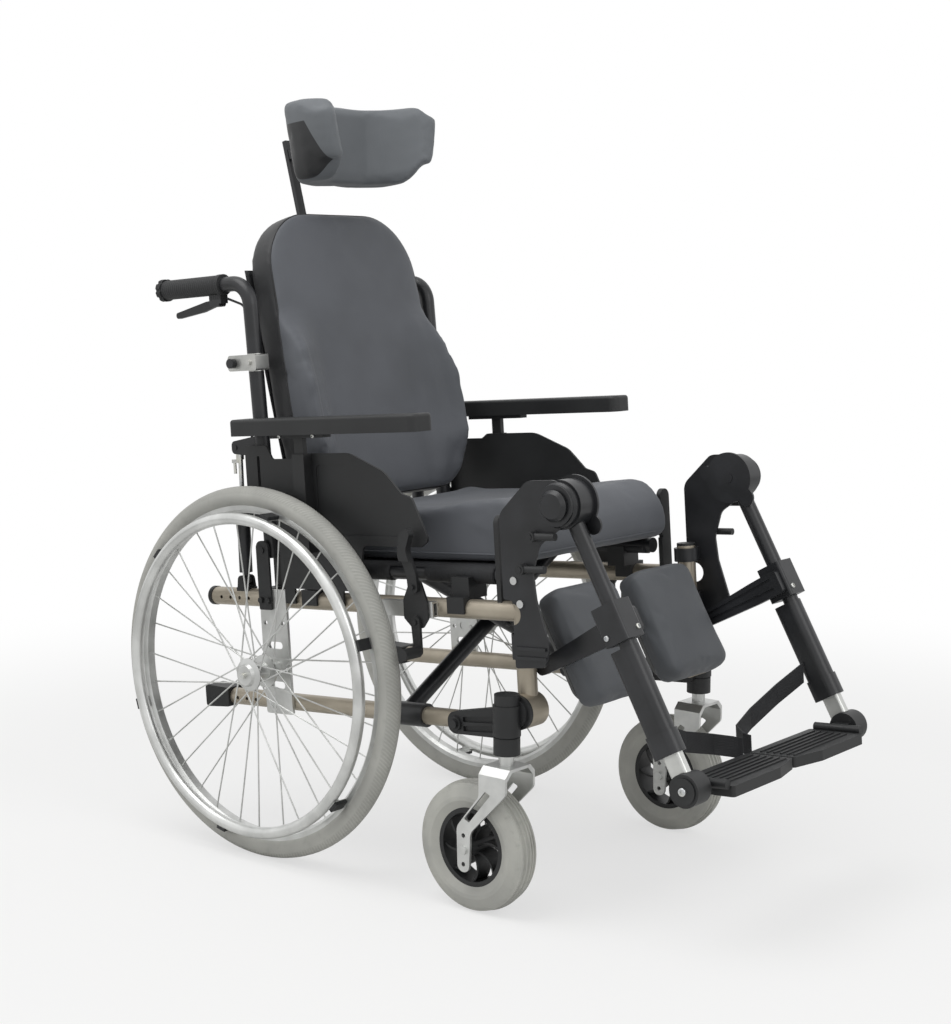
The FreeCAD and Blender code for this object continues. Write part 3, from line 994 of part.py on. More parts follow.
def footplate(hub_at, hinge_z):
    y, top = hub_at.y, hinge_z - 3
    half = FOOT_DEPTH / 2
    x0, x1 = -FLIP_X + 6, -FOOT_GAP / 2
    plate = plate_z([(x0, y - half, 5), (x0, y + half, 5), (x1, y + half, 8), (x1, y - half + 14, 6),
                     (x1 - 60, y - half, 12)], top - FOOT_T, top)
    under = plate_z([(x0 + 12, y - half + 6, 3), (x0 + 12, y + half - 6, 3), (x1 - 8, y + half - 6, 3),
                     (x1 - 8, y - half + 22, 3), (x1 - 60, y - half + 8, 8)], top - FOOT_T - 1, top - 5)
    plate = plate.cut(under)
    ribs = []
    count = 6
    for i in range(count):
        rib_y = y - half + 20 + i * (FOOT_DEPTH - 36) / (count - 1)
        ribs.append(box(x0 + 16, x1 - 10, rib_y - 1.5, rib_y + 1.5, top, top + 2))
    ends = []
    for a, b in ((y - half + 6, y - 12 - FIT), (y + 12 + FIT, y + half - 6)):
        ends.append(rod((-FLIP_X, a, hinge_z), (-FLIP_X, b, hinge_z), 7))
        ends.append(box(-FLIP_X, x0 + 4, a, b, hinge_z - 7, hinge_z - 3))
    whole = fuse(plate, *ends, *ribs)
    whole = whole.cut(rod((-FLIP_X, y - half, hinge_z), (-FLIP_X, y + half, hinge_z), 3.5 + PIN_FIT))
    whole = whole.cut(box(-FLIP_X - 10, -FLIP_X + 7 + FIT, y - 12 - FIT, y + 12 + FIT, hinge_z - 30, hinge_z + 10))
    save_pair("footplate", tip(whole))


def heel_strap(hub_at):
    """Webbing from the sleeve round behind the heel to the inner corner of the footplate."""
    edge = hub_at.y + FOOT_DEPTH / 2
    inner = -LEG_X + SLEEVE_W / 2 + 2.5
    route = [(inner, -722, 268), (-164, -700, 240), (-92, -694, 214), (-34, -704, 200),
             (-14, edge + 14, 194), (-12, edge + FIT, 192)]
    half_h, half_t = 16.0, 1.2
    sections = []
    for i, point in enumerate(route):
        here = V(*point)
        before, after = V(*route[max(i - 1, 0)]), V(*route[min(i + 1, len(route) - 1)])
        run = after - before
        across = V(-run.y, run.x, 0).normalize() * half_t
        up = V(0, 0, half_h)
        corners = [here - across - up, here + across - up, here + across + up, here - across + up]
        sections.append(Part.makePolygon(corners + corners[:1]))
    save_pair("heel_strap", tip(Part.makeLoft(sections, True, True)))


side_frame()
rail_fittings()
axle_plate()
side_panel()
armrest()
rear_wheel()
caster()
braces()
seat()
back()
back_cane()
gas_spring()
brake()
hanger()
leg_tube()
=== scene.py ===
from math import cos, pi, radians, sin, sqrt

import bmesh
import bpy
from mathutils import Matrix, Vector


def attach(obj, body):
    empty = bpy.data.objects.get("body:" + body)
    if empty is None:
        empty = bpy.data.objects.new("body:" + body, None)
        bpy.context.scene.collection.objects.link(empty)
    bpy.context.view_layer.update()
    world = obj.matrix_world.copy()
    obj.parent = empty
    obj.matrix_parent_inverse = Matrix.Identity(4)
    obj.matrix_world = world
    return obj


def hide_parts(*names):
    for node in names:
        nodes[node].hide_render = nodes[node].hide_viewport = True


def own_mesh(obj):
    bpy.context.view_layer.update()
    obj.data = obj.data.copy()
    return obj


# Folding wheelchair with reclining back: looks and soft goods over the fixed frame.
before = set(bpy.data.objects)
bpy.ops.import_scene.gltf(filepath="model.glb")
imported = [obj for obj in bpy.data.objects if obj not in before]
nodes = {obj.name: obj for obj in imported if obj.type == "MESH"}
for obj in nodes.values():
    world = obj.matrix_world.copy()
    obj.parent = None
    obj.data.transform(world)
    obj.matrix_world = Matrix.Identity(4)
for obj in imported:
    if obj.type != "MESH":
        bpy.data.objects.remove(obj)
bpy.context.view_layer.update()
print("frame loaded:", len(nodes), "nodes")

# how the drawing of the level frame lies in the world, in metres and degrees
place = {"rise": 4.2, "axleY": 0.2684, "axleZ": 0.305, "lean": 10.8, "backFoot": (0, -0.066, 0.566),
         "knee": (0, -0.602, 0.579), "rake": 25.2, "legLength": 0.437}


def turnAbout(degrees, y, z):
    # a turn about the line along X through y, z
    turn = Matrix.Rotation(radians(-degrees), 4, "X")
    return Matrix.Translation((0, y, z)) @ turn @ Matrix.Translation((0, -y, -z))


tipped = Matrix.Translation((0, place["axleY"], 0)) @ turnAbout(place["rise"], 0, place["axleZ"])
# for what is drawn upright from the foot of the back, and for what is drawn on an upright leg
leaned = tipped @ Matrix.Translation(place["backFoot"]) @ Matrix.Rotation(radians(-place["lean"]), 4, "X")
raked = tipped @ turnAbout(place["rake"], place["knee"][1], place["knee"][2])


# camera, floor and light
view = {"spot": (-2.331, -1.8566, 0.949), "azimuth": 50.8, "drop": 7.4, "lens": 64.51}
swing, drop = radians(view["azimuth"]), radians(view["drop"])
aim = Vector((sin(swing) * cos(drop), cos(swing) * cos(drop), -sin(drop)))
bpy.ops.object.camera_add(location=view["spot"], rotation=aim.to_track_quat("-Z", "Y").to_euler())
camera = bpy.context.object
camera.name = "photoCamera"
camera.data.lens = view["lens"]
camera.data.sensor_width = 36
camera.data.clip_end = 60
bpy.context.scene.camera = camera
bpy.context.scene.view_settings.view_transform = "Standard"


def tint(text):
    # "#rrggbb" as the linear colour that a socket wants
    parts = [int(text[i:i + 2], 16) / 255 for i in (1, 3, 5)]
    return tuple(p / 12.92 if p <= 0.04045 else ((p + 0.055) / 1.055) ** 2.4 for p in parts) + (1,)


class Wire:
    # a node's output that can be added, scaled and compared like a number
    def __init__(self, sheet, socket):
        self.sheet = sheet
        self.socket = socket

    def sum(self, operation, *values):
        return self.sheet.add("Math", {"operation": operation}, dict(enumerate(values)))

    def __add__(self, other): return self.sum("ADD", self, other)
    def __sub__(self, other): return self.sum("SUBTRACT", self, other)
    def __rsub__(self, other): return self.sum("SUBTRACT", other, self)
    def __mul__(self, other): return self.sum("MULTIPLY", self, other)
    def __pow__(self, other): return self.sum("POWER", self, other)
    def __gt__(self, other): return self.sum("GREATER_THAN", self, other)
    def __lt__(self, other): return self.sum("LESS_THAN", self, other)
    __radd__ = __add__
    __rmul__ = __mul__


class Finish:
    # one material and its node sheet
    def __init__(self, name):
        self.material = bpy.data.materials.new(name)
        self.material.use_nodes = True
        self.tree = self.material.node_tree
        self.tree.nodes.clear()
        self.spot = self.add("TexCoord", out="Object")

    def add(self, kind, settings={}, inputs={}, out=0):
        node = self.tree.nodes.new("ShaderNode" + kind)
        for key, value in settings.items():
            setattr(node, key, value)
        for key, value in inputs.items():
            if isinstance(value, Wire):
                self.tree.links.new(value.socket, node.inputs[key])
            else:
                node.inputs[key].default_value = value
        return Wire(self, node.outputs[out])

    def sum(self, operation, *values):
        return self.add("Math", {"operation": operation}, dict(enumerate(values)))

    def axis(self, name, at=None):
        return self.add("SeparateXYZ", {}, {0: at or self.spot}, name)

    def noise(self, scale, detail=2, at=None):
        return self.add("TexNoise", {}, {"Vector": at or self.spot, "Scale": scale, "Detail": detail})

    def cells(self, scale):
        return self.add("TexVoronoi", {}, {"Vector": self.spot, "Scale": scale})

    def soften(self, value, low, high):
        links = {0: value, 1: low, 2: high, 3: 0.0, 4: 1.0}
        return self.add("MapRange", {"interpolation_type": "SMOOTHSTEP"}, links)

    def mix(self, mask, first, second):
        return self.add("Mix", {"data_type": "RGBA"}, {0: mask, 6: first, 7: second}, 2)

    def bump(self, height, distance, strength=1.0, under=None):
        links = {"Strength": strength, "Distance": distance, "Height": height}
        if under:
            links["Normal"] = under
        return self.add("Bump", {}, links)

    def surface(self, colour, roughness, normal=None, **fixed):
        links = {"Base Color": colour, "Roughness": roughness}
        if normal:
            links["Normal"] = normal
        for key, value in fixed.items():
            links[key] = value
        shader = self.add("BsdfPrincipled", {}, links)
        return self.finishWith(shader)

    def finishWith(self, shader):
        out = self.tree.nodes.new("ShaderNodeOutputMaterial")
        self.tree.links.new(shader.socket, out.inputs[0])
        return self.material


def tippedAxis(sheet, name):
    # height or depth in the drawing of the level frame
    turn = radians(place["rise"])
    y, z = sheet.axis("Y") - place["axleY"], sheet.axis("Z") - place["axleZ"]
    return y * sin(turn) + z * cos(turn) + place["axleZ"] if name == "Z" else y * cos(turn) - z * sin(turn)


# floor and backdrop: white to the camera, the chair's shadow kept
floorLook = {"size": 24, "white": 0.62, "greyAt": 1.0, "clearAt": 2.4, "paper": (0.86, 0.86, 0.85, 1)}
bpy.ops.mesh.primitive_plane_add(size=floorLook["size"], location=(0, 0, 0))
floor = bpy.context.object
floor.name = "studioFloor"
sheet = Finish("studioPaper")
away = sheet.add("VectorMath", {"operation": "LENGTH"}, {0: sheet.spot}, "Value")
path = sheet.add("LightPath", out="Is Camera Ray")
glow = sheet.add("Emission", {}, {"Color": (1, 1, 1, 1), "Strength": 1.0})
paper = sheet.add("BsdfDiffuse", {}, {"Color": floorLook["paper"]})
clearing = sheet.soften(away, floorLook["greyAt"], floorLook["clearAt"])
share = path * (floorLook["white"] + (1 - floorLook["white"]) * clearing)
floor.data.materials.append(sheet.finishWith(sheet.add("MixShader", {}, {0: share, 1: paper, 2: glow})))

world = bpy.data.worlds.new("studioWorld")
bpy.context.scene.world = world
world.use_nodes = True
world.node_tree.nodes.clear()
sky = Finish.__new__(Finish)      # the same node sheet, laid on the world's own tree
sky.tree = world.node_tree
seen = sky.add("LightPath", out="Is Camera Ray")
shine = sky.add("LightPath", out="Is Glossy Ray")
through = sky.add("LightPath", out="Is Transmission Ray")
white = sky.add("Background", {}, {"Color": (1, 1, 1, 1), "Strength": 1.0})
ambient = sky.add("Background", {}, {"Color": (1, 1, 1, 1), "Strength": 0.55})
anySight = sky.sum("MINIMUM", seen + shine + through, 1.0)
both = sky.add("MixShader", {}, {0: anySight, 1: ambient, 2: white})
skyOut = world.node_tree.nodes.new("ShaderNodeOutputWorld")
world.node_tree.links.new(both.socket, skyOut.inputs[0])

# spot, width and power of each lamp
lamps = {"overhead": ((-1.2, 0.6, 3.4), 2.6, 46), "front": ((-0.4, -3.2, 2.4), 2.2, 20)}
for name, (spot, size, power) in lamps.items():
    toChair = Vector((0, 0, 0.5)) - Vector(spot)
    bpy.ops.object.light_add(type="AREA", location=spot, rotation=toChair.to_track_quat("-Z", "Y").to_euler())
    lamp = bpy.context.object
    lamp.name = name + "Lamp"
    lamp.data.shape = "DISK"
    lamp.data.size = size
    lamp.data.energy = power
print("camera, floor and lamps set")


# finishes
def paintedTube():
    # champagne metallic paint
    sheet = Finish("champagnePaint")
    flake = sheet.cells(2600)
    cloud = sheet.noise(14, 3)
    colour = sheet.mix(sheet.soften(cloud, 0.35, 0.7), tint("#a39a8a"), tint("#b3aa9a"))
    colour = sheet.mix(flake * 0.25, colour, tint("#c8c0b2"))
    rough = 0.33 + 0.1 * sheet.noise(60)
    return sheet.surface(colour, rough, sheet.bump(sheet.noise(900), 0.00004, 0.5), Metallic=0.62)


def satinBlack(name="satinBlackTube", base="#1d1e20", lift="#2a2b2e", shine=0.3):
    sheet = Finish(name)
    cloud = sheet.noise(18, 3)
    colour = sheet.mix(sheet.soften(cloud, 0.3, 0.75), tint(base), tint(lift))
    scuff = sheet.soften(sheet.noise(130, 5), 0.62, 0.75)
    rough = shine + 0.08 * cloud + 0.1 * scuff
    return sheet.surface(colour, rough, sheet.bump(sheet.noise(700, 3), 0.00005, 0.6))


def mouldedBlack():
    # fine-grained moulded plastic
    sheet = Finish("mouldedBlack")
    cloud = sheet.noise(9, 4)
    colour = sheet.mix(sheet.soften(cloud, 0.3, 0.7), tint("#191a1b"), tint("#232425"))
    return sheet.surface(colour, 0.46 + 0.12 * cloud, sheet.bump(sheet.cells(1500), 0.00008, 0.5))


def bareAluminium():
    # brushed along Z
    sheet = Finish("bareAluminium")
    stretch = sheet.add("Mapping", {}, {"Vector": sheet.spot, "Scale": (1, 1, 0.08)})
    brushed = sheet.noise(1400, 3, stretch)
    colour = sheet.mix(sheet.soften(sheet.noise(22, 3), 0.3, 0.7), tint("#c3c4c2"), tint("#d9dad8"))
    return sheet.surface(colour, 0.3 + 0.12 * brushed, sheet.bump(brushed, 0.00003, 0.4), Metallic=0.85)


def zincSteel():
    sheet = Finish("zincSteel")
    colour = sheet.mix(sheet.soften(sheet.noise(60, 3), 0.35, 0.7), tint("#c9cbcd"), tint("#dddcd2"))
    rough = 0.2 + 0.15 * sheet.noise(240)
    return sheet.surface(colour, rough, sheet.bump(sheet.noise(800), 0.00003, 0.4), Metallic=1.0)


def rubberTyre():
    # pale rubber with slanted tread rows round the crown
    v = {"middle": 0.285, "treadFrom": 0.2935, "treadFull": 0.2965, "rows": 300, "slant": 900}
    sheet = Finish("paleTyreRubber")
    side, y, z = sheet.axis("X"), sheet.axis("Y") - place["axleY"], sheet.axis("Z") - place["axleZ"]
    turn = sheet.add("Math", {"operation": "ARCTAN2"}, {0: z, 1: y})
    reach = (y * y + z * z) ** 0.5
    out = sheet.sum("ABSOLUTE", sheet.sum("ABSOLUTE", side) - v["middle"])
    rows = sheet.sum("SINE", turn * v["rows"] + out * v["slant"])
    tread = sheet.soften(rows, -0.4, 0.5) * sheet.soften(reach, v["treadFrom"], v["treadFull"])
    cloud = sheet.noise(12, 4)
    dust = sheet.soften(sheet.noise(70, 5), 0.5, 0.8)
    colour = sheet.mix(sheet.soften(cloud, 0.3, 0.75), tint("#a9a9a4"), tint("#b9b9b3"))
    colour = sheet.mix(dust * 0.3, colour, tint("#8f8f89"))
    # darker rubber between the tread rows on the crown: painted shade in the grooves
    crown = sheet.soften(reach, v["treadFrom"], v["treadFull"])
    colour = sheet.mix(crown * (1 - tread) * 0.3, colour, tint("#8b8b85"))
    normal = sheet.bump(tread, 0.0005, 0.7, sheet.bump(sheet.noise(500), 0.00008, 0.4))
    return sheet.surface(colour, 0.56 + 0.2 * cloud, normal)


def coverCloth(name, blackWhere=None, base="#55585d", lift="#606369"):
    # smooth coated cloth; the gusset is black where blackWhere says so
    sheet = Finish(name)
    cloud = sheet.noise(7, 3)
    grain = sheet.cells(1900)
    thread = sheet.noise(1100, 2)
    colour = sheet.mix(sheet.soften(cloud, 0.3, 0.7), tint(base), tint(lift))
    colour = sheet.mix(grain * 0.18, colour, tint("#3f4245"))
    rough = 0.58 + 0.12 * thread
    if blackWhere:
        black = blackWhere(sheet)
        gusset = sheet.mix(sheet.soften(cloud, 0.3, 0.7), tint("#1b1c1e"), tint("#242527"))
        colour = sheet.mix(black, colour, gusset)
        rough = rough - 0.12 * black
    fold = sheet.noise(26, 3)
    normal = sheet.bump(fold, 0.0012, 0.25, sheet.bump(grain + thread, 0.00012, 0.5))
    return sheet.surface(colour, rough, normal, **{"Sheen Weight": 0.08, "Sheen Roughness": 0.5})


def slingNylon():
    # plain weave
    pitch = 1800
    sheet = Finish("slingNylon")
    weave = sheet.sum("SINE", sheet.axis("X") * pitch) * sheet.sum("SINE", sheet.axis("Y") * pitch)
    cloud = sheet.noise(20, 3)
    colour = sheet.mix(sheet.soften(cloud + weave * 0.15, 0.3, 0.75), tint("#17181a"), tint("#26272a"))
    return sheet.surface(colour, 0.62 + 0.1 * cloud, sheet.bump(weave, 0.00025, 0.7))


def aroundX(sheet, y, z):
    # distance from a line along X through y, z
    down, up = sheet.axis("Y") - y, sheet.axis("Z") - z
    return (down * down + up * up) ** 0.5


def casterRubber():
    # grooved pale tyre on a black vaned hub
    v = {"axle": (-0.1746, 0.100), "hub": 0.0603, "crown": 0.086}
    sheet = Finish("casterRubber")
    reach = aroundX(sheet, *v["axle"])
    cloud = sheet.noise(16, 4)
    dust = sheet.soften(sheet.noise(90, 5), 0.5, 0.8)
    rubber = sheet.mix(sheet.soften(cloud, 0.3, 0.75), tint("#aaaaa5"), tint("#bbbbb4"))
    worn = dust * 0.35 * sheet.soften(reach, v["crown"], v["crown"] + 0.004)
    rubber = sheet.mix(worn, rubber, tint("#8b8b85"))
    hub = sheet.mix(sheet.soften(cloud, 0.3, 0.7), tint("#131415"), tint("#1d1e1f"))
    outer = reach > v["hub"]
    rough = 0.42 + 0.18 * outer + 0.12 * cloud
    normal = sheet.bump(sheet.cells(1300), 0.00007, 0.4)
    return sheet.surface(sheet.mix(outer, hub, rubber), rough, normal)


def pushCane():
    # black tube with a bare strap clamp and a rubber grip
    v = {"clamp": 0.808, "half": 0.0145, "cable": 0.2066, "grip": 0.0855, "foot": 0.915, "rings": 1250}
    sheet = Finish("pushCane")
    side = sheet.sum("ABSOLUTE", sheet.axis("X"))
    y, z = tippedAxis(sheet, "Y"), tippedAxis(sheet, "Z")
    cloud = sheet.noise(18, 3)
    tube = sheet.mix(sheet.soften(cloud, 0.3, 0.75), tint("#1d1e20"), tint("#2a2b2e"))
    strap = (sheet.sum("ABSOLUTE", z - v["clamp"]) < v["half"]) * (side > v["cable"])
    bare = sheet.mix(sheet.soften(sheet.noise(40, 3), 0.3, 0.7), tint("#b0b1ae"), tint("#c6c6c2"))
    grip = (y > v["grip"]) * (z > v["foot"])
    rings = sheet.soften(sheet.sum("SINE", y * v["rings"]), -0.2, 0.5)
    # grip ridges painted lighter and the grooves between them darker: painted shade in the grooves
    rubber = sheet.mix(rings, tint("#202122"), tint("#2e2f30"))
    colour = sheet.mix(strap, sheet.mix(grip, tube, rubber), bare)
    rough = 0.32 + 0.1 * cloud + 0.34 * grip
    fine = sheet.bump(sheet.noise(700, 3), 0.00005, 0.6)
    normal = sheet.bump(rings * grip, 0.0005, 0.8, fine)
    return sheet.surface(colour, rough, normal, Metallic=strap * 0.85)


def footTube():
    # bare sliding bar above a black pivot hub
    v = {"hub": 0.0245, "barFrom": 0.2205}
    hubAt = raked @ Vector((0, place["knee"][1], place["knee"][2] - place["legLength"]))
    sheet = Finish("footTube")
    side = sheet.sum("ABSOLUTE", sheet.axis("X"))
    reach = aroundX(sheet, hubAt.y, hubAt.z)
    bar = (reach > v["hub"]) * (side > v["barFrom"])
    cloud = sheet.noise(24, 3)
    bare = sheet.mix(sheet.soften(cloud, 0.3, 0.7), tint("#bfc0bd"), tint("#d4d5d2"))
    black = sheet.mix(sheet.soften(cloud, 0.3, 0.7), tint("#191a1b"), tint("#242526"))
    rough = 0.42 - 0.12 * bar + 0.1 * cloud
    return sheet.surface(sheet.mix(bar, black, bare), rough, sheet.bump(sheet.noise(900, 3), 0.00005, 0.5),
                         Metallic=bar * 0.85)


def handrimTube():
    # polished hoop on black mounts
    mountsFrom = 0.2662
    sheet = Finish("handrimTube")
    mount = aroundX(sheet, place["axleY"], place["axleZ"]) > mountsFrom
    cloud = sheet.noise(22, 3)
    bare = sheet.mix(sheet.soften(cloud, 0.3, 0.7), tint("#c6c7c5"), tint("#dcdddb"))
    black = sheet.mix(sheet.soften(cloud, 0.3, 0.7), tint("#17181a"), tint("#222325"))
    return sheet.surface(sheet.mix(mount, bare, black), 0.26 + 0.12 * cloud + 0.15 * mount,
                         sheet.bump(sheet.noise(1100, 3), 0.00003, 0.4), Metallic=0.85 - 0.85 * mount)


def webbingBand():
    # ribbed nylon webbing
    sheet = Finish("webbingBand")
    across, along = sheet.axis("Z") * 2600, (sheet.axis("X") + sheet.axis("Y")) * 1500
    ribs = sheet.sum("SINE", across) * sheet.sum("SINE", along)
    cloud = sheet.noise(20, 3)
    colour = sheet.mix(sheet.soften(cloud + ribs * 0.15, 0.3, 0.75), tint("#141517"), tint("#222326"))
    return sheet.surface(colour, 0.66 + 0.1 * cloud, sheet.bump(ribs, 0.0003, 0.7))


def hangerPlate():
    # black plate with two zinc bolts on its outer face
    v = {"bolts": [(-0.514, 0.468), (-0.524, 0.434)], "bolt": 0.0063, "face": 0.2502}
    sheet = Finish("hangerPlate")
    side = sheet.sum("ABSOLUTE", sheet.axis("X"))
    y, z = tippedAxis(sheet, "Y"), tippedAxis(sheet, "Z")
    bolt = None
    for downAt, upAt in v["bolts"]:
        near = ((y - downAt) ** 2 + (z - upAt) ** 2) ** 0.5 < v["bolt"]
        bolt = sheet.sum("MAXIMUM", bolt, near) if bolt else near
    bolt = bolt * (side > v["face"])
    cloud = sheet.noise(18, 3)
    black = sheet.mix(sheet.soften(cloud, 0.3, 0.75), tint("#1b1c1e"), tint("#27282b"))
    scuff = sheet.soften(sheet.noise(130, 5), 0.62, 0.75)
    rough = 0.34 + 0.08 * cloud + 0.1 * scuff - 0.12 * bolt
    return sheet.surface(sheet.mix(bolt, black, tint("#cfd0cf")), rough,
                         sheet.bump(sheet.noise(700, 3), 0.00005, 0.6), Metallic=bolt)


finishes = {
    "frame_paint": paintedTube(),
    "black_paint": satinBlack("satinBlackPaint"),
    "black_aluminium": satinBlack(),
    "bare_aluminium": bareAluminium(),
    "steel": zincSteel(),
    "black_plastic": mouldedBlack(),
    "tyre_grey": rubberTyre(),
    "webbing": webbingBand(),
    "caster_wheel": casterRubber(),
    "back_cane": pushCane(),
    "foot_tube": footTube(),
    "handrim": handrimTube(),
    "hanger": hangerPlate(),
}
# a finish of the node's own comes before that of its slot
for name, node in nodes.items():
    slotName = node.material_slots[0].material.name.split(".")[0] if node.material_slots else ""
    finish = finishes.get(name.rsplit("_", 1)[0], finishes.get(slotName))
    if finish:
        node.material_slots[0].material = finish


# modelling helpers
def only(piece):
    if bpy.context.mode != "OBJECT":
        bpy.ops.object.mode_set(mode="OBJECT")
    bpy.ops.object.select_all(action="DESELECT")
    piece.select_set(True)
    bpy.context.view_layer.objects.active = piece


def block(name, low, high):
    # a box between two corners, to be shaped further
    bpy.ops.object.select_all(action="DESELECT")
    middle = [(a + b) / 2 for a, b in zip(low, high)]
    bpy.ops.mesh.primitive_cube_add(size=1, location=middle)
    piece = bpy.context.object
    piece.name = name
    piece.scale = [b - a for a, b in zip(low, high)]
    bpy.ops.object.transform_apply(location=True, rotation=True, scale=True)
    return piece


def pick(piece, kind, test):
    # edit mode with the points, edges or faces selected that pass the test
    only(piece)
    bpy.ops.object.mode_set(mode="EDIT")
    bpy.ops.mesh.select_mode(type=kind)
    bpy.ops.mesh.select_all(action="DESELECT")
    shape = bmesh.from_edit_mesh(piece.data)
    shape.normal_update()
    for part in {"VERT": shape.verts, "EDGE": shape.edges, "FACE": shape.faces}[kind]:
        if kind == "VERT":
            chosen = test(part.co)
        elif kind == "EDGE":
            first, second = part.verts[0].co, part.verts[1].co
            chosen = test((first + second) / 2, (second - first).normalized())
        else:
            chosen = test(part.calc_center_median(), part.normal)
        if chosen:
            part.select_set(True)
    bmesh.update_edit_mesh(piece.data)


def roundOff(piece, width, segments, test):
    pick(piece, "EDGE", test)
    bpy.ops.mesh.bevel(offset=width, segments=segments, profile=0.5, affect="EDGES", clamp_overlap=True)
    bpy.ops.object.mode_set(mode="OBJECT")


def modify(piece, kind, **settings):
    only(piece)
    modifier = piece.modifiers.new(kind.lower(), kind)
    for key, value in settings.items():
        setattr(modifier, key, value)
    bpy.ops.object.modifier_apply(modifier=modifier.name)


def cage(piece, counts, move):
    # bends the piece with a lattice round it; move says where each cage point goes
    corners = [Vector(c) for c in piece.bound_box]
    low = Vector([min(c[i] for c in corners) for i in range(3)])
    high = Vector([max(c[i] for c in corners) for i in range(3)])
    size, middle = (high - low) * 1.02, (low + high) / 2
    bpy.ops.object.select_all(action="DESELECT")
    bpy.ops.object.add(type="LATTICE", location=middle)
    grid = bpy.context.object
    grid.scale = size
    lattice = grid.data
    lattice.points_u, lattice.points_v, lattice.points_w = counts
    for side in "uvw":
        setattr(lattice, "interpolation_type_" + side, "KEY_CARDINAL")
    for point in lattice.points:
        spot = Vector([point.co[i] * size[i] + middle[i] for i in range(3)])
        target = move(spot)
        point.co_deform = [(target[i] - middle[i]) / size[i] for i in range(3)]
    bpy.context.view_layer.update()
    modify(piece, "LATTICE", object=grid)
    bpy.data.objects.remove(grid)


def plump(piece, voxel, cap, pressure=4.0, limit=None):
    # even skin, then cloth blown out a little as foam fills its cover
    modify(piece, "REMESH", mode="VOXEL", voxel_size=voxel)
    rest = [v.co.copy() for v in piece.data.vertices]
    only(piece)
    cloth = piece.modifiers.new("cloth", "CLOTH")
    cloth.settings.use_pressure = True
    cloth.settings.uniform_pressure_force = pressure
    cloth.settings.effector_weights.gravity = 0
    cloth.settings.quality = 4
    cloth.point_cache.frame_start, cloth.point_cache.frame_end = 1, 20
    for step in range(1, 21):
        bpy.context.scene.frame_set(step)
    bpy.ops.object.modifier_apply(modifier=cloth.name)
    bpy.context.scene.frame_set(1)
    for vertex, start in zip(piece.data.vertices, rest):
        moved = vertex.co - start
        if moved.length > cap:
            vertex.co = start + moved.normalized() * cap
    if limit:
        for vertex in piece.data.vertices:
            vertex.co = limit(vertex.co)


def polish(piece, levels=1):
    if levels:
        modify(piece, "SUBSURF", levels=levels, render_levels=levels)
    only(piece)
    bpy.ops.object.shade_smooth()


def between(table, at):
    # value at a place from a short table of (place, value), eased from one to the next
    for (a, low), (b, high) in zip(table, table[1:]):
        if at <= b:
            t = min(max((at - a) / (b - a), 0), 1)
            return low + (high - low) * t * t * (3 - 2 * t)
    return table[-1][1]


def settle(piece, matrix, body, finish, slot=None, *replaced):
    # puts a drawn piece in its place in the world, on its body
    piece.data.transform(matrix)
    piece.data.update()
    piece.data.materials.clear()
    piece.data.materials.append(finish)
    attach(piece, body)
    if replaced:
        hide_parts(*replaced)
    return piece


def mirrored(piece, name):
    # the same piece for the other side, with its own mesh
    copy = bpy.data.objects.new(name, piece.data.copy())
    bpy.context.collection.objects.link(copy)
    copy.data.transform(Matrix.Scale(-1, 4, (1, 0, 0)))
    copy.data.flip_normals()
    return copy


def fittingsOf(nodeName, name):
    # the solids of a node apart from its largest, as a piece of their own
    mesh = nodes[nodeName].data.copy()
    shape = bmesh.new()
    shape.from_mesh(mesh)
    bmesh.ops.remove_doubles(shape, verts=shape.verts, dist=0.00001)
    groups, left = [], set(shape.verts)
    while left:
        group, edge = set(), [left.pop()]
        while edge:
            vertex = edge.pop()
            group.add(vertex)
            for link in vertex.link_edges:
                other = link.other_vert(vertex)
                if other in left:
                    left.remove(other)
                    edge.append(other)
        groups.append(group)

    def spread(group):
        sides = [[v.co[i] for v in group] for i in range(3)]
        wide, deep, tall = [max(side) - min(side) for side in sides]
        return wide * deep * tall

    largest = max(groups, key=spread)
    bmesh.ops.delete(shape, geom=list(largest), context="VERTS")
    bmesh.ops.recalc_face_normals(shape, faces=shape.faces)
    shape.to_mesh(mesh)
    shape.free()
    piece = bpy.data.objects.new(name, mesh)
    bpy.context.collection.objects.link(piece)
    only(piece)
    bpy.ops.object.shade_smooth_by_angle(angle=radians(35))
    return piece


def folds(piece):
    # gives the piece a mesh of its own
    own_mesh(piece)


def loopPath(count, middle, reach, spotAt):
    # pairs of an outer and an inner point round a ring, for piping to aim along
    pairs = []
    for i in range(count):
        turn = 2 * pi * i / count
        across, along = reach[0] * sin(turn), middle + reach[1] * cos(turn)
        pairs.append((spotAt(across, along), spotAt(across * 0.3, middle + (along - middle) * 0.3)))
    return pairs


def piping(name, piece, matrix, path, radius, body, finish):
    # a cord of piping that follows the skin of the piece where the path aims at it
    points = []
    for outer, inner in path:
        start, way = matrix @ Vector(outer), (matrix @ Vector(inner)) - (matrix @ Vector(outer))
        hit, spot = piece.ray_cast(start, way.normalized())[:2]
        if hit:
            points.append(spot)
    bpy.ops.object.select_all(action="DESELECT")
    bpy.ops.mesh.primitive_circle_add(vertices=len(points), radius=1)
    cord = bpy.context.object
    cord.name = name
    for vertex, spot in zip(cord.data.vertices, points):
        vertex.co = spot
    modify(cord, "SMOOTH", factor=0.5, iterations=2)
    only(cord)
    bpy.ops.object.convert(target="CURVE")
    cord.data.bevel_depth = radius
    cord.data.bevel_resolution = 2
    bpy.ops.object.convert(target="MESH")
    cord = bpy.context.object
    bpy.ops.object.shade_smooth()
    cord.data.materials.clear()
    cord.data.materials.append(finish)
    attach(cord, body)
    return cord


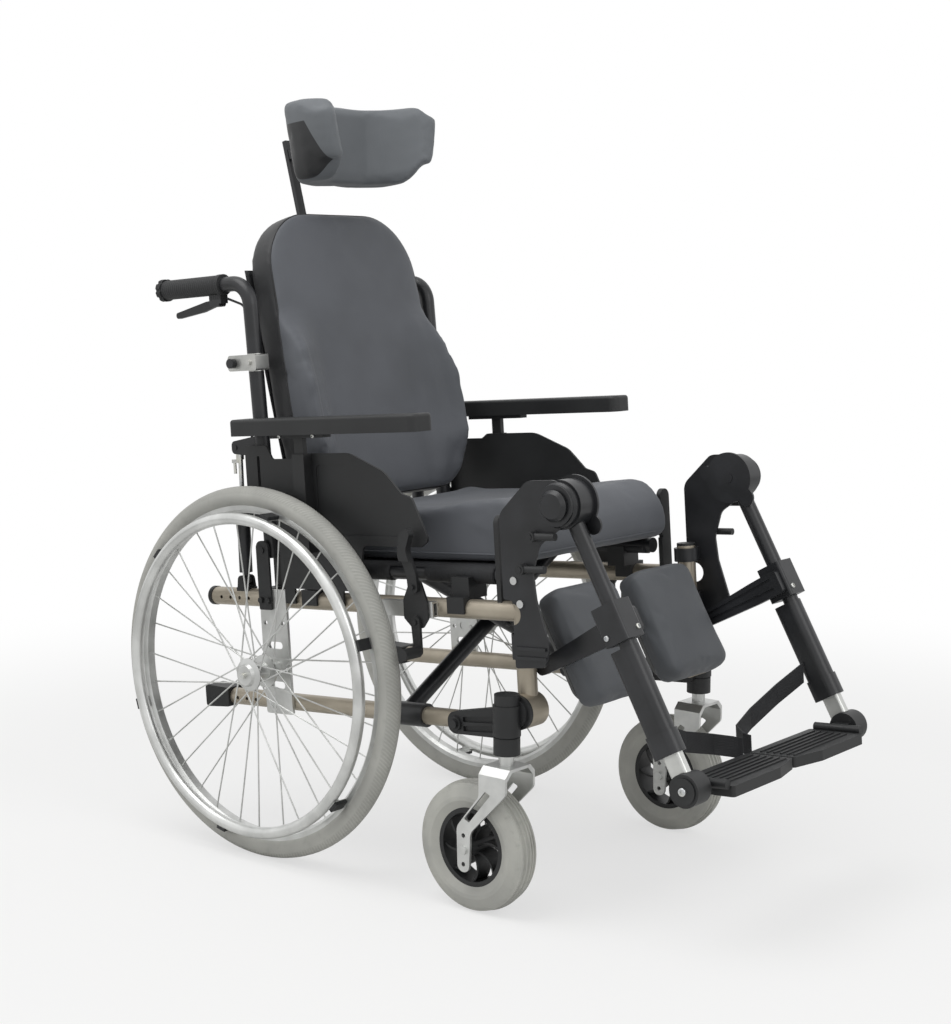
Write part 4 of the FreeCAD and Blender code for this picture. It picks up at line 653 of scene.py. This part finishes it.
# back cushion: slate front with side wings, black gusset behind the seam
backCushion = {"half": [(0, 0.180), (0.06, 0.190), (0.15, 0.194), (0.3, 0.190), (0.4, 0.184), (0.52, 0.180)],
               "deep": 0.058, "tall": 0.508, "topRound": 0.105, "footRound": 0.035,
               "block": 0.184, "wingReach": 0.050, "crown": 0.006, "back": 0.0600, "seam": 0.010,
               "wingUp": [(0, 0.05), (0.03, 0.35), (0.09, 0.95), (0.14, 1), (0.21, 1), (0.26, 0.72), (0.33, 0)],
               "wingAcross": [(0, 0), (0.105, 0), (0.15, 0.5), (0.172, 0.95), (0.182, 1), (0.2, 0.9)]}


def makeBackCushion():
    v = backCushion
    half = v["block"]
    piece = block("backCushion", (-half, 0.004, 0.004), (half, v["deep"], v["tall"] - 0.006))
    roundOff(piece, v["topRound"], 12, lambda at, way: abs(way.y) > 0.9 and at.z > 0.3)
    roundOff(piece, v["footRound"], 5, lambda at, way: abs(way.y) > 0.9 and at.z < 0.1 and abs(at.x) > 0.15)
    roundOff(piece, 0.012, 3, lambda at, way: abs(at.y - 0.004) < 0.0005)
    roundOff(piece, 0.008, 2, lambda at, way: abs(at.y - v["deep"]) < 0.0005)
    modify(piece, "REMESH", mode="VOXEL", voxel_size=0.007)

    def form(at):
        front = min(max((0.034 - at.y) / 0.030, 0), 1)
        wide = between(v["half"], at.z) / half
        wing = v["wingReach"] * between(v["wingUp"], at.z) * between(v["wingAcross"], abs(at.x)) * front
        crown = v["crown"] * front * (1 - (abs(at.x) / half) ** 2)
        return Vector((at.x * wide, at.y - wing - crown, at.z))

    cage(piece, (23, 6, 18), form)
    plump(piece, 0.006, 0.003, 4.0, lambda at: Vector((at.x, min(at.y, v["back"]), max(at.z, 0.0))))
    polish(piece)
    return piece


def behindSeam(sheet):
    # 1 behind the plane of the seam round the back cushion
    origin = leaned @ Vector((0, 0, 0))
    way = (leaned.to_3x3() @ Vector((0, 1, 0))).normalized()
    depth = sheet.axis("Y") * way.y + sheet.axis("Z") * way.z - origin.dot(way)
    return sheet.soften(depth, backCushion["seam"] - 0.0003, backCushion["seam"] + 0.0003)


cushionCover = coverCloth("slateCoverBack", behindSeam)
cushion = settle(makeBackCushion(), leaned, "back_unit", cushionCover, "cover_cloth", "back_cushion")
folds(cushion)
rim = loopPath(150, 0.254, (0.30, 0.36), lambda across, up: (across, backCushion["seam"], up))
pipeLook = satinBlack("pipingCord", "#151617", "#202123", 0.5)
folds(piping("backPiping", cushion, leaned, rim, 0.0016, "back_unit", pipeLook))
print("back cushion made")


# seat cushion
seatCushion = {"low": 0.4850, "high": 0.572, "back": -0.072, "front": -0.498, "half": 0.190, "seam": 0.4965,
               "nose": 0.058, "under": 0.022, "corner": 0.030, "edge": 0.016, "dish": 0.006,
               "rise": [(-0.51, -0.004), (-0.455, 0.008), (-0.40, 0.004), (-0.28, -0.008),
                        (-0.15, -0.008), (-0.06, -0.004)]}


def makeSeatCushion():
    v = seatCushion
    piece = block("seatCushion", (-v["half"], v["front"], v["low"]), (v["half"], v["back"], v["high"]))
    roundOff(piece, v["nose"], 8, lambda at, way: abs(way.x) > 0.9 and at.y < -0.4 and at.z > 0.54)
    roundOff(piece, v["under"], 4, lambda at, way: abs(way.x) > 0.9 and at.y < -0.4 and at.z < 0.50)
    roundOff(piece, v["corner"], 4, lambda at, way: abs(way.z) > 0.9)
    roundOff(piece, v["edge"], 3, lambda at, way: at.z > v["high"] - 0.0005 and abs(way.z) < 0.5)
    modify(piece, "REMESH", mode="VOXEL", voxel_size=0.007)

    def form(at):
        up = min(max((at.z - v["low"]) / (v["high"] - v["low"]), 0), 1)
        dish = -v["dish"] * (1 - (at.x / v["half"]) ** 2) * up
        return Vector((at.x, at.y, at.z + up * between(v["rise"], at.y) + dish))

    cage(piece, (7, 13, 4), form)
    plump(piece, 0.006, 0.0035, 4.0, lambda at: Vector((at.x, at.y, max(at.z, v["low"]))))
    polish(piece)
    return piece


seatCover = coverCloth("slateCoverSeat")
cushion = settle(makeSeatCushion(), tipped, "seat", seatCover, "cover_cloth", "seat_cushion")
folds(cushion)
rim = loopPath(130, -0.285, (0.34, 0.36), lambda across, along: (across, along, seatCushion["seam"]))
folds(piping("seatPiping", cushion, tipped, rim, 0.0015, "seat", seatCover))
print("seat cushion made")


# headrest pad with side wings, black low on its outer sides and behind
headPad = {"low": 1.102, "high": 1.234, "reach": 0.184, "lowRound": 0.078, "highRound": 0.046, "split": 1.196,
           "tip": 0.78, "edge": 0.010,
           "plan": [(0, 0.052), (0.055, 0.050), (0.100, 0.032), (0.138, 0.006), (0.147, -0.035), (0.146, -0.078),
                    (0.137, -0.094), (0.122, -0.096), (0.108, -0.078), (0.094, -0.050), (0.072, -0.022),
                    (0.045, -0.008), (0, -0.008)]}


def makeHeadPad():
    v = headPad
    outline = v["plan"] + [(-x, y) for x, y in reversed(v["plan"][1:-1])]
    bpy.ops.object.select_all(action="DESELECT")
    bpy.ops.mesh.primitive_circle_add(vertices=len(outline), radius=1, fill_type="NGON")
    piece = bpy.context.object
    piece.name = "headPad"
    for vertex, (x, y) in zip(piece.data.vertices, outline):
        vertex.co = (x, y, v["low"])
    only(piece)
    bpy.ops.object.mode_set(mode="EDIT")
    bpy.ops.mesh.select_all(action="SELECT")
    bpy.ops.mesh.extrude_region_move(TRANSFORM_OT_translate={"value": (0, 0, v["high"] - v["low"])})
    bpy.ops.mesh.select_all(action="SELECT")
    bpy.ops.mesh.normals_make_consistent(inside=False)
    bpy.ops.object.mode_set(mode="OBJECT")
    roundOff(piece, v["edge"], 3, lambda at, way: abs(way.z) < 0.5)
    modify(piece, "REMESH", mode="VOXEL", voxel_size=0.005)
    modify(piece, "SMOOTH", factor=0.5, iterations=6)

    def form(at):
        out = abs(at.x) + 0.9 * max(-at.y - 0.03, 0)

        def trim(radius):
            # how far a rounded corner of that radius has cut in at this reach
            past = min(max(out - (v["reach"] - radius), 0), radius * v["tip"])
            return radius - sqrt(radius ** 2 - past ** 2)

        low, high = v["low"] + trim(v["lowRound"]), v["high"] - trim(v["highRound"])
        share = (at.z - v["low"]) / (v["high"] - v["low"])
        narrow = 1 - 0.13 * (1 - min(max(share, 0), 1)) ** 1.3
        return Vector((at.x * narrow, at.y, low + (high - low) * share))

    cage(piece, (21, 13, 6), form)
    plump(piece, 0.005, 0.0018, 3.0)
    polish(piece)
    return piece


def headGusset(sheet):
    # 1 on the lower outer sides and the back
    side = sheet.sum("ABSOLUTE", sheet.axis("X"))
    y, z = tippedAxis(sheet, "Y"), tippedAxis(sheet, "Z")
    outer = (side > 0.112) * (y > -0.045 - 0.48 * (headPad["split"] - z)) * (z < headPad["split"])
    return sheet.sum("MAXIMUM", outer, y > 0.036)


# the headrest's copy of the slate cloth is painted lighter than the seat's: painted light on the top of the
# chair
headCover = coverCloth("slateCoverHead", headGusset, "#63676b", "#6f7377")
cushion = settle(makeHeadPad(), tipped, "head_pad", headCover, "cover_cloth", "headrest_pad")
bracket = fittingsOf("headrest_pad", "headBracket")
settle(bracket, Matrix.Identity(4), "head_pad", finishes["black_aluminium"])
print("headrest made")


# calf pads in their tapered shells
calfPad = {"x": (-0.185, -0.025), "y": (-0.484, -0.441), "z": (0.309, 0.491), "corner": 0.020, "edge": 0.012,
           "crown": 0.004, "shellIn": 0.004, "shellDeep": 0.012, "shellRound": 0.024, "shellTaper": 0.84}


def makeCalfPad():
    v = calfPad
    low, high = [[v[side][end] for side in "xyz"] for end in (0, 1)]
    piece = block("calfPad_r", low, high)
    roundOff(piece, v["corner"], 6, lambda at, way: abs(way.y) > 0.9)
    roundOff(piece, v["edge"], 3, lambda at, way: abs(way.y) < 0.5 and at.y < v["y"][0] + 0.001)
    modify(piece, "REMESH", mode="VOXEL", voxel_size=0.006)
    middle = Vector([(a + b) / 2 for a, b in zip(low, high)])

    def form(at):
        off = at - middle
        front = min(max((v["y"][1] - at.y) / (v["y"][1] - v["y"][0]), 0), 1)
        crown = v["crown"] * front * (1 - (off.x / 0.08) ** 2) * (1 - (off.z / 0.091) ** 2)
        return Vector((at.x, at.y - crown, at.z))

    cage(piece, (7, 4, 7), form)
    plump(piece, 0.005, 0.0018, 3.0, lambda at: Vector((at.x, min(at.y, v["y"][1] + 0.001), at.z)))
    polish(piece)
    return piece


def makeCalfShell():
    # moulded back of the pad, narrower behind
    v = calfPad
    inset, taper = v["shellIn"], v["shellTaper"]
    low = (v["x"][0] + inset, v["y"][1] - inset, v["z"][0] + inset)
    high = (v["x"][1] - inset, v["y"][1] + v["shellDeep"], v["z"][1] - inset)
    piece = block("calfShell_r", low, high)
    roundOff(piece, v["shellRound"], 6, lambda at, way: abs(way.y) > 0.9)
    middle = [(a + b) / 2 for a, b in zip(low, high)]
    for vertex in piece.data.vertices:
        if vertex.co.y > v["y"][1]:
            vertex.co.x = middle[0] + (vertex.co.x - middle[0]) * taper
            vertex.co.z = middle[2] + (vertex.co.z - middle[2]) * taper
    roundOff(piece, 0.003, 2, lambda at, way: at.y > high[1] - 0.0005)
    only(piece)
    bpy.ops.object.shade_smooth_by_angle(angle=radians(35))
    return piece


# the calf pads' copy of the slate cloth is painted darker than the seat's: painted shade low on the chair
calfCover = coverCloth("slateCoverCalf", None, "#4f5256", "#5a5d61")
pad, shell = makeCalfPad(), makeCalfShell()
farSide = ("l", mirrored(pad, "calfPad_l"), mirrored(shell, "calfShell_l"))
for tag, soft, hard in (("r", pad, shell), farSide):
    settle(soft, raked, "calf_" + tag, calfCover, "cover_cloth", "calf_pad_" + tag)
    settle(hard, raked, "calf_" + tag, finishes["black_plastic"])
    lugs = fittingsOf("calf_pad_" + tag, "calfBracket_" + tag)
    settle(lugs, Matrix.Identity(4), "calf_" + tag, finishes["black_plastic"])
print("calf pads made")


# slings stretched over the seat tubes and behind the back cushion
seatSling = {"tube": 0.200, "tubeZ": 0.468, "wrap": 0.0134, "turn": 4.6, "back": -0.026, "front": -0.446,
             "brace": -0.275, "notch": 0.037, "sag": 0.0012, "thick": 0.0012}
backSling = {"half": 0.186, "foot": 0.014, "top": 0.414, "depth": 0.0618, "bow": 0.0008, "thick": 0.0016}


def makeSeatSling():
    v = seatSling
    half = v["tube"] + v["wrap"] * v["turn"]
    bpy.ops.object.select_all(action="DESELECT")
    bpy.ops.mesh.primitive_grid_add(x_subdivisions=72, y_subdivisions=40, size=1)
    piece = bpy.context.object
    piece.name = "seatSling"
    for vertex in piece.data.vertices:
        along = v["front"] + (vertex.co.y + 0.5) * (v["back"] - v["front"])
        vertex.co = (vertex.co.x * 2 * half, along, 0)
    pick(piece, "FACE", lambda at, way: abs(at.x) > v["tube"] + 0.012 and abs(at.y - v["brace"]) < v["notch"])
    bpy.ops.mesh.delete(type="FACE")
    bpy.ops.object.mode_set(mode="OBJECT")
    for vertex in piece.data.vertices:
        across, side = abs(vertex.co.x), 1 if vertex.co.x > 0 else -1
        past = max(across - v["tube"], 0) / v["wrap"]
        sag = v["sag"] * (1 - min(across / v["tube"], 1) ** 2)
        vertex.co.x = side * (min(across, v["tube"]) + v["wrap"] * sin(past))
        vertex.co.z = v["tubeZ"] + v["wrap"] * cos(past) - sag
    modify(piece, "SOLIDIFY", thickness=v["thick"], offset=1.0)
    polish(piece, 0)
    return piece, (2 * half, v["back"] - v["front"])


def makeBackSling():
    v = backSling
    bpy.ops.object.select_all(action="DESELECT")
    bpy.ops.mesh.primitive_grid_add(x_subdivisions=40, y_subdivisions=44, size=1)
    piece = bpy.context.object
    piece.name = "backSling"
    for vertex in piece.data.vertices:
        x, up = vertex.co.x * 2 * v["half"], v["foot"] + (vertex.co.y + 0.5) * (v["top"] - v["foot"])
        bow = v["bow"] * (1 - (x / v["half"]) ** 2)
        vertex.co = (x, v["depth"] + bow, up)
    modify(piece, "SOLIDIFY", thickness=v["thick"], offset=0.0)
    only(piece)
    bpy.ops.object.mode_set(mode="EDIT")
    bpy.ops.mesh.select_all(action="SELECT")
    bpy.ops.mesh.normals_make_consistent(inside=False)
    bpy.ops.object.mode_set(mode="OBJECT")
    polish(piece, 0)
    return piece, (2 * v["half"], v["top"] - v["foot"])


slingLook = slingNylon()
for (cloth, flat), matrix, body, node, rests in (
        (makeSeatSling(), tipped, "seat", "seat_sling", ["brace_a", "brace_b"]),
        (makeBackSling(), leaned, "back_unit", "back_sling", ["headrest_bar"])):
    settle(cloth, matrix, body, slingLook, "sling_cloth", node)
    folds(cloth)
print("slings made")


# socket screws: name, seat, way out, head radius, drawing and body
screws = [("footScrew", (-0.2490, -0.602, 0.142), (-1, 0, 0), 0.0062, raked, "foot_"),
          ("clampScrewA", (-0.2510, -0.588, 0.378), (-1, 0, 0), 0.0042, raked, "leg_"),
          ("clampScrewB", (-0.2180, -0.622, 0.378), (0, -1, 0), 0.0042, raked, "leg_"),
          ("calfScrewA", (-0.1600, -0.429, 0.430), (0, 1, 0), 0.0040, raked, "calf_"),
          ("calfScrewB", (-0.0500, -0.429, 0.430), (0, 1, 0), 0.0040, raked, "calf_"),
          ("armScrewA", (-0.2615, -0.135, 0.687), (-1, 0, 0), 0.0035, tipped, "arm_"),
          ("armScrewB", (-0.2615, -0.060, 0.687), (-1, 0, 0), 0.0035, tipped, "arm_")]


def makeScrew(name, radius):
    # dome head with a hexagon socket, its axis along Z and its seat at the origin
    bpy.ops.object.select_all(action="DESELECT")
    bpy.ops.mesh.primitive_cylinder_add(vertices=24, radius=radius, depth=radius * 0.7,
                                        location=(0, 0, radius * 0.3))
    piece = bpy.context.object
    piece.name = name
    bpy.ops.object.transform_apply(location=True, rotation=True, scale=True)
    top = radius * 0.65
    roundOff(piece, radius * 0.28, 3, lambda at, way: at.z > top - 0.0001 and abs(way.z) < 0.1)
    pick(piece, "FACE", lambda at, way: way.z > 0.95 and at.z > top - 0.0001)
    bpy.ops.mesh.inset(thickness=radius * 0.22)
    bpy.ops.mesh.extrude_region_move(TRANSFORM_OT_translate={"value": (0, 0, -radius * 0.4)})
    bpy.ops.object.mode_set(mode="OBJECT")
    only(piece)
    bpy.ops.object.shade_smooth_by_angle(angle=radians(40))
    return piece


for name, spot, way, radius, matrix, body in screws:
    turned = Vector(way).to_track_quat("Z", "Y").to_matrix().to_4x4()
    right = makeScrew(name + "_r", radius)
    right.data.transform(Matrix.Translation(spot) @ turned)
    left = mirrored(right, name + "_l")
    settle(right, matrix, body + "r", finishes["steel"])
    settle(left, matrix, body + "l", finishes["steel"])
print("screws made")
